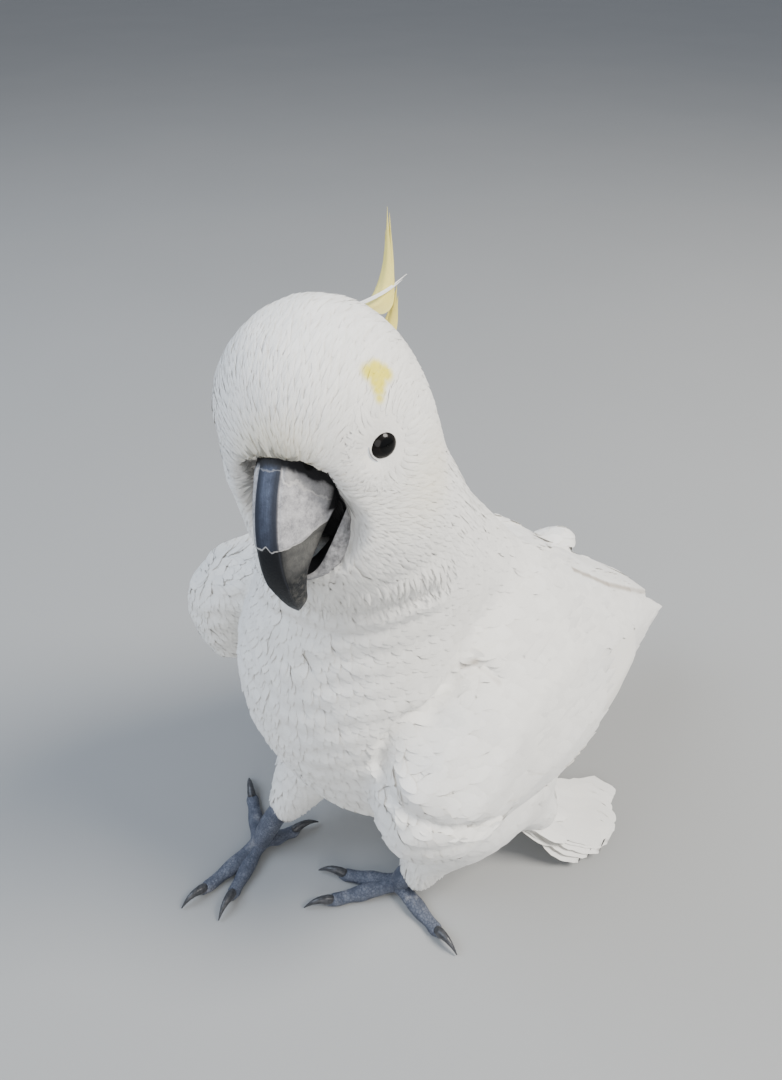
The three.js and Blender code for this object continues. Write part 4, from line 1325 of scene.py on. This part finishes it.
crestPlan = {
    "path": [(0, -5, 35.0), (0, -22, 31.8), (0, -38, 26.2), (1, -53, 26.6), (1.2, -63, 36.8), (0.4, -69, 57)],
    "lobe": [(3, -24, 24), (3.6, -40, 17), (4, -54, 16.5), (5, -63, 30)],
    "wisp": [(-1, -28, 30.5), (0.4, -38, 29.5), (3.2, -54, 29.8), (6.6, -70, 32.0)],
    "feathers": [
        # sideways at root and tip mm, start, reach, half-width mm, height mm
        (-4.4, -1.6, 0.10, 0.86, 2.9, 0.2), (4.8, 2.0, 0.12, 0.84, 2.9, 0.1),
        (-2.8, -0.8, 0.06, 0.93, 3.2, 0.8), (3.0, 1.2, 0.08, 0.95, 3.2, 0.7),
        (0.0, 0.2, 0.0, 1.0, 3.4, 1.3), (-1.2, 0.8, 0.16, 0.98, 3.2, 0.4),
        (1.4, -0.4, 0.14, 0.90, 3.0, 1.0), (5.6, 3.0, 0.16, 0.74, 2.6, -0.2),
    ],
    "lobeFeathers": [(-4.4, -1.6, 0.0, 0.84, 3.2, 0.2), (2.2, 1.0, 0.0, 0.92, 2.8, 0.1),
                     (0.0, 0.0, 0.0, 1.0, 3.2, 0.6)],
}


def plumes(pile, path, feathers, rng):
    # feathers side by side along a curve, their faces to the front
    spine = smoothCurve(np.array([atHead(*p) for p in path]), 60)
    along = unit(np.gradient(spine, axis=0))
    sideways = unit(headLeft - along * (along @ headLeft)[:, None])
    upward = np.cross(along, sideways)
    upward = np.where((upward @ (headForward * 0.6 + headUp))[:, None] < 0, -upward, upward)
    share = np.linspace(0, 1, 60)
    for root, tip, start, reach, half, height in feathers:
        x = np.linspace(start, reach, 26)
        off = (root + (tip - root) * ease(x, 0.2, 0.9)) * mm
        rise = (height - 1.2 * (1 - x)) * mm
        face = readAt(x, share, upward)
        path = readAt(x, share, spine) + readAt(x, share, sideways) * off[:, None] + face * rise[:, None]
        pile.add(path[None], unit(face)[None], np.array([half * mm]), plumeShape, 9, rng,
                 cup=0.30, ragged=0.03, rib=0.2 * mm, blunt=0.05)


def crestFan():
    rng = np.random.default_rng(61)
    pile = FeatherPile()
    plumes(pile, crestPlan["path"], crestPlan["feathers"], rng)
    plumes(pile, crestPlan["lobe"], crestPlan["lobeFeathers"], rng)
    return pile.finish("crest_fan", crestMaterial, 0.35)


def crestWisp():
    # one thin pale feather standing out behind the curl
    rng = np.random.default_rng(63)
    pile = FeatherPile()
    plumes(pile, crestPlan["wisp"], [(0, 0, 0, 1, 1.1, 0.4), (0.7, 0.9, 0, 0.9, 1.0, 0.2)], rng)
    return pile.finish("crest_wisp", quillMaterial, 0.4)


crest = crestFan()
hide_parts("crest")
crestWisp()


# feet: scaled toes and shanks, dark hooked claws

footPlan = {
    "left": {"foot": (36, 28), "ankle": (43, 37, 24), "turn": -36, "side": 1},
    "right": {"foot": (-32, -24), "ankle": (-27, -5, 40), "turn": 20, "side": -1},
    # name, degrees outward, length mm
    "toes": [("inner_front", -12, 30), ("outer_front", 13, 37),
             ("inner_rear", -150, 20), ("outer_rear", 130, 32)],
}


def scalyMaterial():
    m, t, b = newMaterial("foot_scales", Roughness=0.6, Specular_IOR_Level=0.35)
    place = placeIn(t)
    cells = made("TexVoronoi", {"Vector": place, "Scale": 620}, "Distance", feature="DISTANCE_TO_EDGE")
    edge = rising(cells, 0.0, 0.12)
    tone = noiseAt(place, 180, 5, 0.6)
    scale = mixColour(remap(tone, 0.3, 0.7), (0.055, 0.064, 0.088), (0.155, 0.17, 0.21))
    colour = mixColour(edge, (0.06, 0.07, 0.10), scale)
    dust = remap(noiseAt(place, 90, 4, 0.7), 0.55, 0.75, 0.0, 0.45)
    fillInputs(b, Base_Color=mixColour(dust, colour, (0.36, 0.34, 0.33)),
               Normal=bump(edge + tone * 0.3, 0.6, 0.0005))
    return m


def clawMaterial():
    m, t, b = newMaterial("claw_horn", Roughness=0.35, Specular_IOR_Level=0.5)
    tone = noiseAt(placeIn(t), 500, 5, 0.6)
    colour = mixColour(remap(tone, 0.3, 0.7), (0.018, 0.019, 0.022), (0.075, 0.075, 0.08))
    fillInputs(b, Base_Color=colour, Normal=bump(tone, 0.3, 0.0003))
    return m


def limb(path, radii, sides, flat, pads=0.0):
    # a tube with rows of scutes across its top and pads below, resting on the floor
    p = np.asarray(path)
    along = unit(np.gradient(p, axis=0))
    side = unit(np.cross(along, [0, 0, 1.0]))
    up = np.cross(side, along)
    a = np.linspace(0, 2 * math.pi, sides, endpoint=False)
    c, s = np.cos(a), np.sin(a)
    reach = np.concatenate([[0], np.cumsum(np.linalg.norm(np.diff(p, axis=0), axis=1))])[:, None] / mm
    ridge = 0.22 * (1 - np.abs(((reach / 2.3) % 1) * 2 - 1) ** 4) * np.clip(s, 0, 1) ** 0.5
    bulge = pads * (0.5 + 0.5 * np.cos(reach * 2 * math.pi / 11)) * np.clip(-s + 0.3, 0, 1)
    r = (radii[:, None] + ridge + bulge) * mm
    ring = p[:, None] + side[:, None] * (c * r)[..., None] + up[:, None] * (s * r * flat)[..., None]
    ring[..., 2] = np.maximum(ring[..., 2], 0.0)
    verts = ring.reshape(-1, 3)
    return verts, outwardFaces(verts, gridFaces(len(p), sides, True))


def outwardFaces(verts, faces):
    mid = verts[faces].mean(axis=1) - verts.mean(axis=0)
    n = np.cross(verts[faces[:, 2]] - verts[faces[:, 0]], verts[faces[:, -1]] - verts[faces[:, 1]])
    return faces if (mid * n).sum() > 0 else faces[:, ::-1]


def makeFoot(label, scaly, dark):
    plan = footPlan[label]
    shift = np.array(tailPlan["shift"])
    foot, ankle = np.array([*plan["foot"], 0.0]), np.array(plan["ankle"], float)
    top = ankle + (ankle - foot - [0, 0, 8]) * 0.10
    stops = np.array([top, ankle, ankle * 0.45 + foot * 0.55 + [0, 0, 5], foot + [0, 0, 5.5]])
    radii = np.interp(np.linspace(0, 1, 34), [0, 0.3, 0.7, 1], [6.2, 5.9, 6.2, 5.2])
    limbs = [limb(smoothCurve(stops, 34) * mm + shift, radii, 30, 1.0)]
    for name, angle, length in footPlan["toes"]:
        heading = math.radians(plan["turn"] + plan["side"] * angle)
        out = np.array([math.sin(heading), -math.cos(heading), 0])
        stops = [foot + out * reach + [0, 0, level] for reach, level in (
            (0, 6.6), (length * 0.36, 4.7), (length * 0.7, 3.2), (length + 4.5, 2.5))]
        count = int(length * 2.2)
        v = np.linspace(0, 1, count)
        radii = np.interp(v, [0, 0.3, 0.65, 0.9, 1], [4.8, 4.5, 4.1, 3.6, 1.6]) + 0.35 * np.cos(v * math.pi * 4)
        limbs.append(limb(smoothCurve(stops, count) * mm + shift, radii, 26, 0.78, 0.5))
        # claw
        k = np.linspace(0, 1, 26)
        rise = 3.4 + 3.4 * np.sin(math.pi * k * 0.85) - 3.6 * k ** 2
        bend = (foot + out * (length + 1.5 + 15.5 * k)[:, None] + [0, 0, 1.0] * rise[:, None]) * mm + shift
        verts, faces = limb(bend, np.interp(k, [0, 0.15, 0.6, 1], [2.5, 2.55, 1.5, 0.25]), 18, 1.15)
        uv = np.stack(np.meshgrid(np.linspace(0, 1, 18), k), -1)
        claw = addObject("claw_%s_%s_horn" % (name, label), verts, faces, dark, {"OFBake": uv})
        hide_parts("claw_%s_%s" % (name, label))
    starts = np.cumsum([0] + [len(v) for v, _ in limbs])
    verts = np.vstack([v for v, _ in limbs])
    uv = np.stack([(verts[:, 0] + 0.12) * 4, (verts[:, 1] + 0.2) * 4 + verts[:, 2] * 3], -1) % 1.0
    faces = np.vstack([f + start for (_, f), start in zip(limbs, starts)])
    ob = addObject("toes_" + label, verts, faces, scaly, {"OFBake": uv})
    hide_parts("foot_" + label)


scaly, darkHorn = scalyMaterial(), clawMaterial()
makeFoot("left", scaly, darkHorn)
makeFoot("right", scaly, darkHorn)
print("feet")


# camera, floor and lights

view = {"place": (0.2057, -0.2080, 0.4400), "heading": 54.0, "down": 39.37, "lens": 26.0}


def setCamera():
    cam = bpy.data.objects.new("camera", bpy.data.cameras.new("camera"))
    scene.collection.objects.link(cam)
    a, d = math.radians(view["heading"]), math.radians(view["down"])
    look = Vector((-math.sin(a) * math.cos(d), math.cos(a) * math.cos(d), -math.sin(d)))
    cam.location = view["place"]
    cam.rotation_euler = look.to_track_quat("-Z", "Y").to_euler()
    cam.data.lens = view["lens"]
    cam.data.sensor_width = 36.0
    cam.data.clip_start = 0.01
    scene.camera = cam


def setFloor():
    me = bpy.data.meshes.new("floor")
    s = 6.0
    me.from_pydata([(-s, -s, 0), (s, -s, 0), (s, s, 0), (-s, s, 0)], [], [(0, 1, 2, 3)])
    ob = bpy.data.objects.new("floor", me)
    scene.collection.objects.link(ob)
    m, t, b = newMaterial("floor_paper", Roughness=0.9)
    paper = mixColour(noiseAt(placeIn(t), 3.0, 3), (0.30, 0.305, 0.30), (0.33, 0.33, 0.325))
    fillInputs(b, Base_Color=paper)
    me.materials.append(m)


def areaLight(name, place, target, size, power, colour, shine):
    lamp = bpy.data.lights.new(name, "AREA")
    lamp.shape = "DISK"
    lamp.size = size
    lamp.energy = power
    lamp.color = colour
    lamp.specular_factor = shine
    ob = bpy.data.objects.new(name, lamp)
    scene.collection.objects.link(ob)
    ob.location = place
    ob.rotation_euler = (Vector(target) - Vector(place)).to_track_quat("-Z", "Y").to_euler()


def setLights():
    world = bpy.data.worlds.new("studio")
    world.use_nodes = True
    back = world.node_tree.nodes["Background"]
    back.inputs[0].default_value = (0.82, 0.88, 1.0, 1)
    back.inputs[1].default_value = 0.50
    scene.world = world
    target = (0.0, 0.0, 0.18)
    areaLight("key", (0.85, 0.70, 1.5), target, 0.8, 54, (1.0, 0.96, 0.895), 1.0)
    areaLight("sky", (-0.6, -1.1, 1.5), target, 1.5, 28, (0.70, 0.82, 1.0), 0.25)
    areaLight("fill", (1.3, -1.0, 0.9), target, 1.4, 12, (1.0, 0.98, 0.95), 0.1)


setCamera()
setFloor()
setLights()
print("camera, floor and lights")

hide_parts(*bodyNodes, *wingNodes)
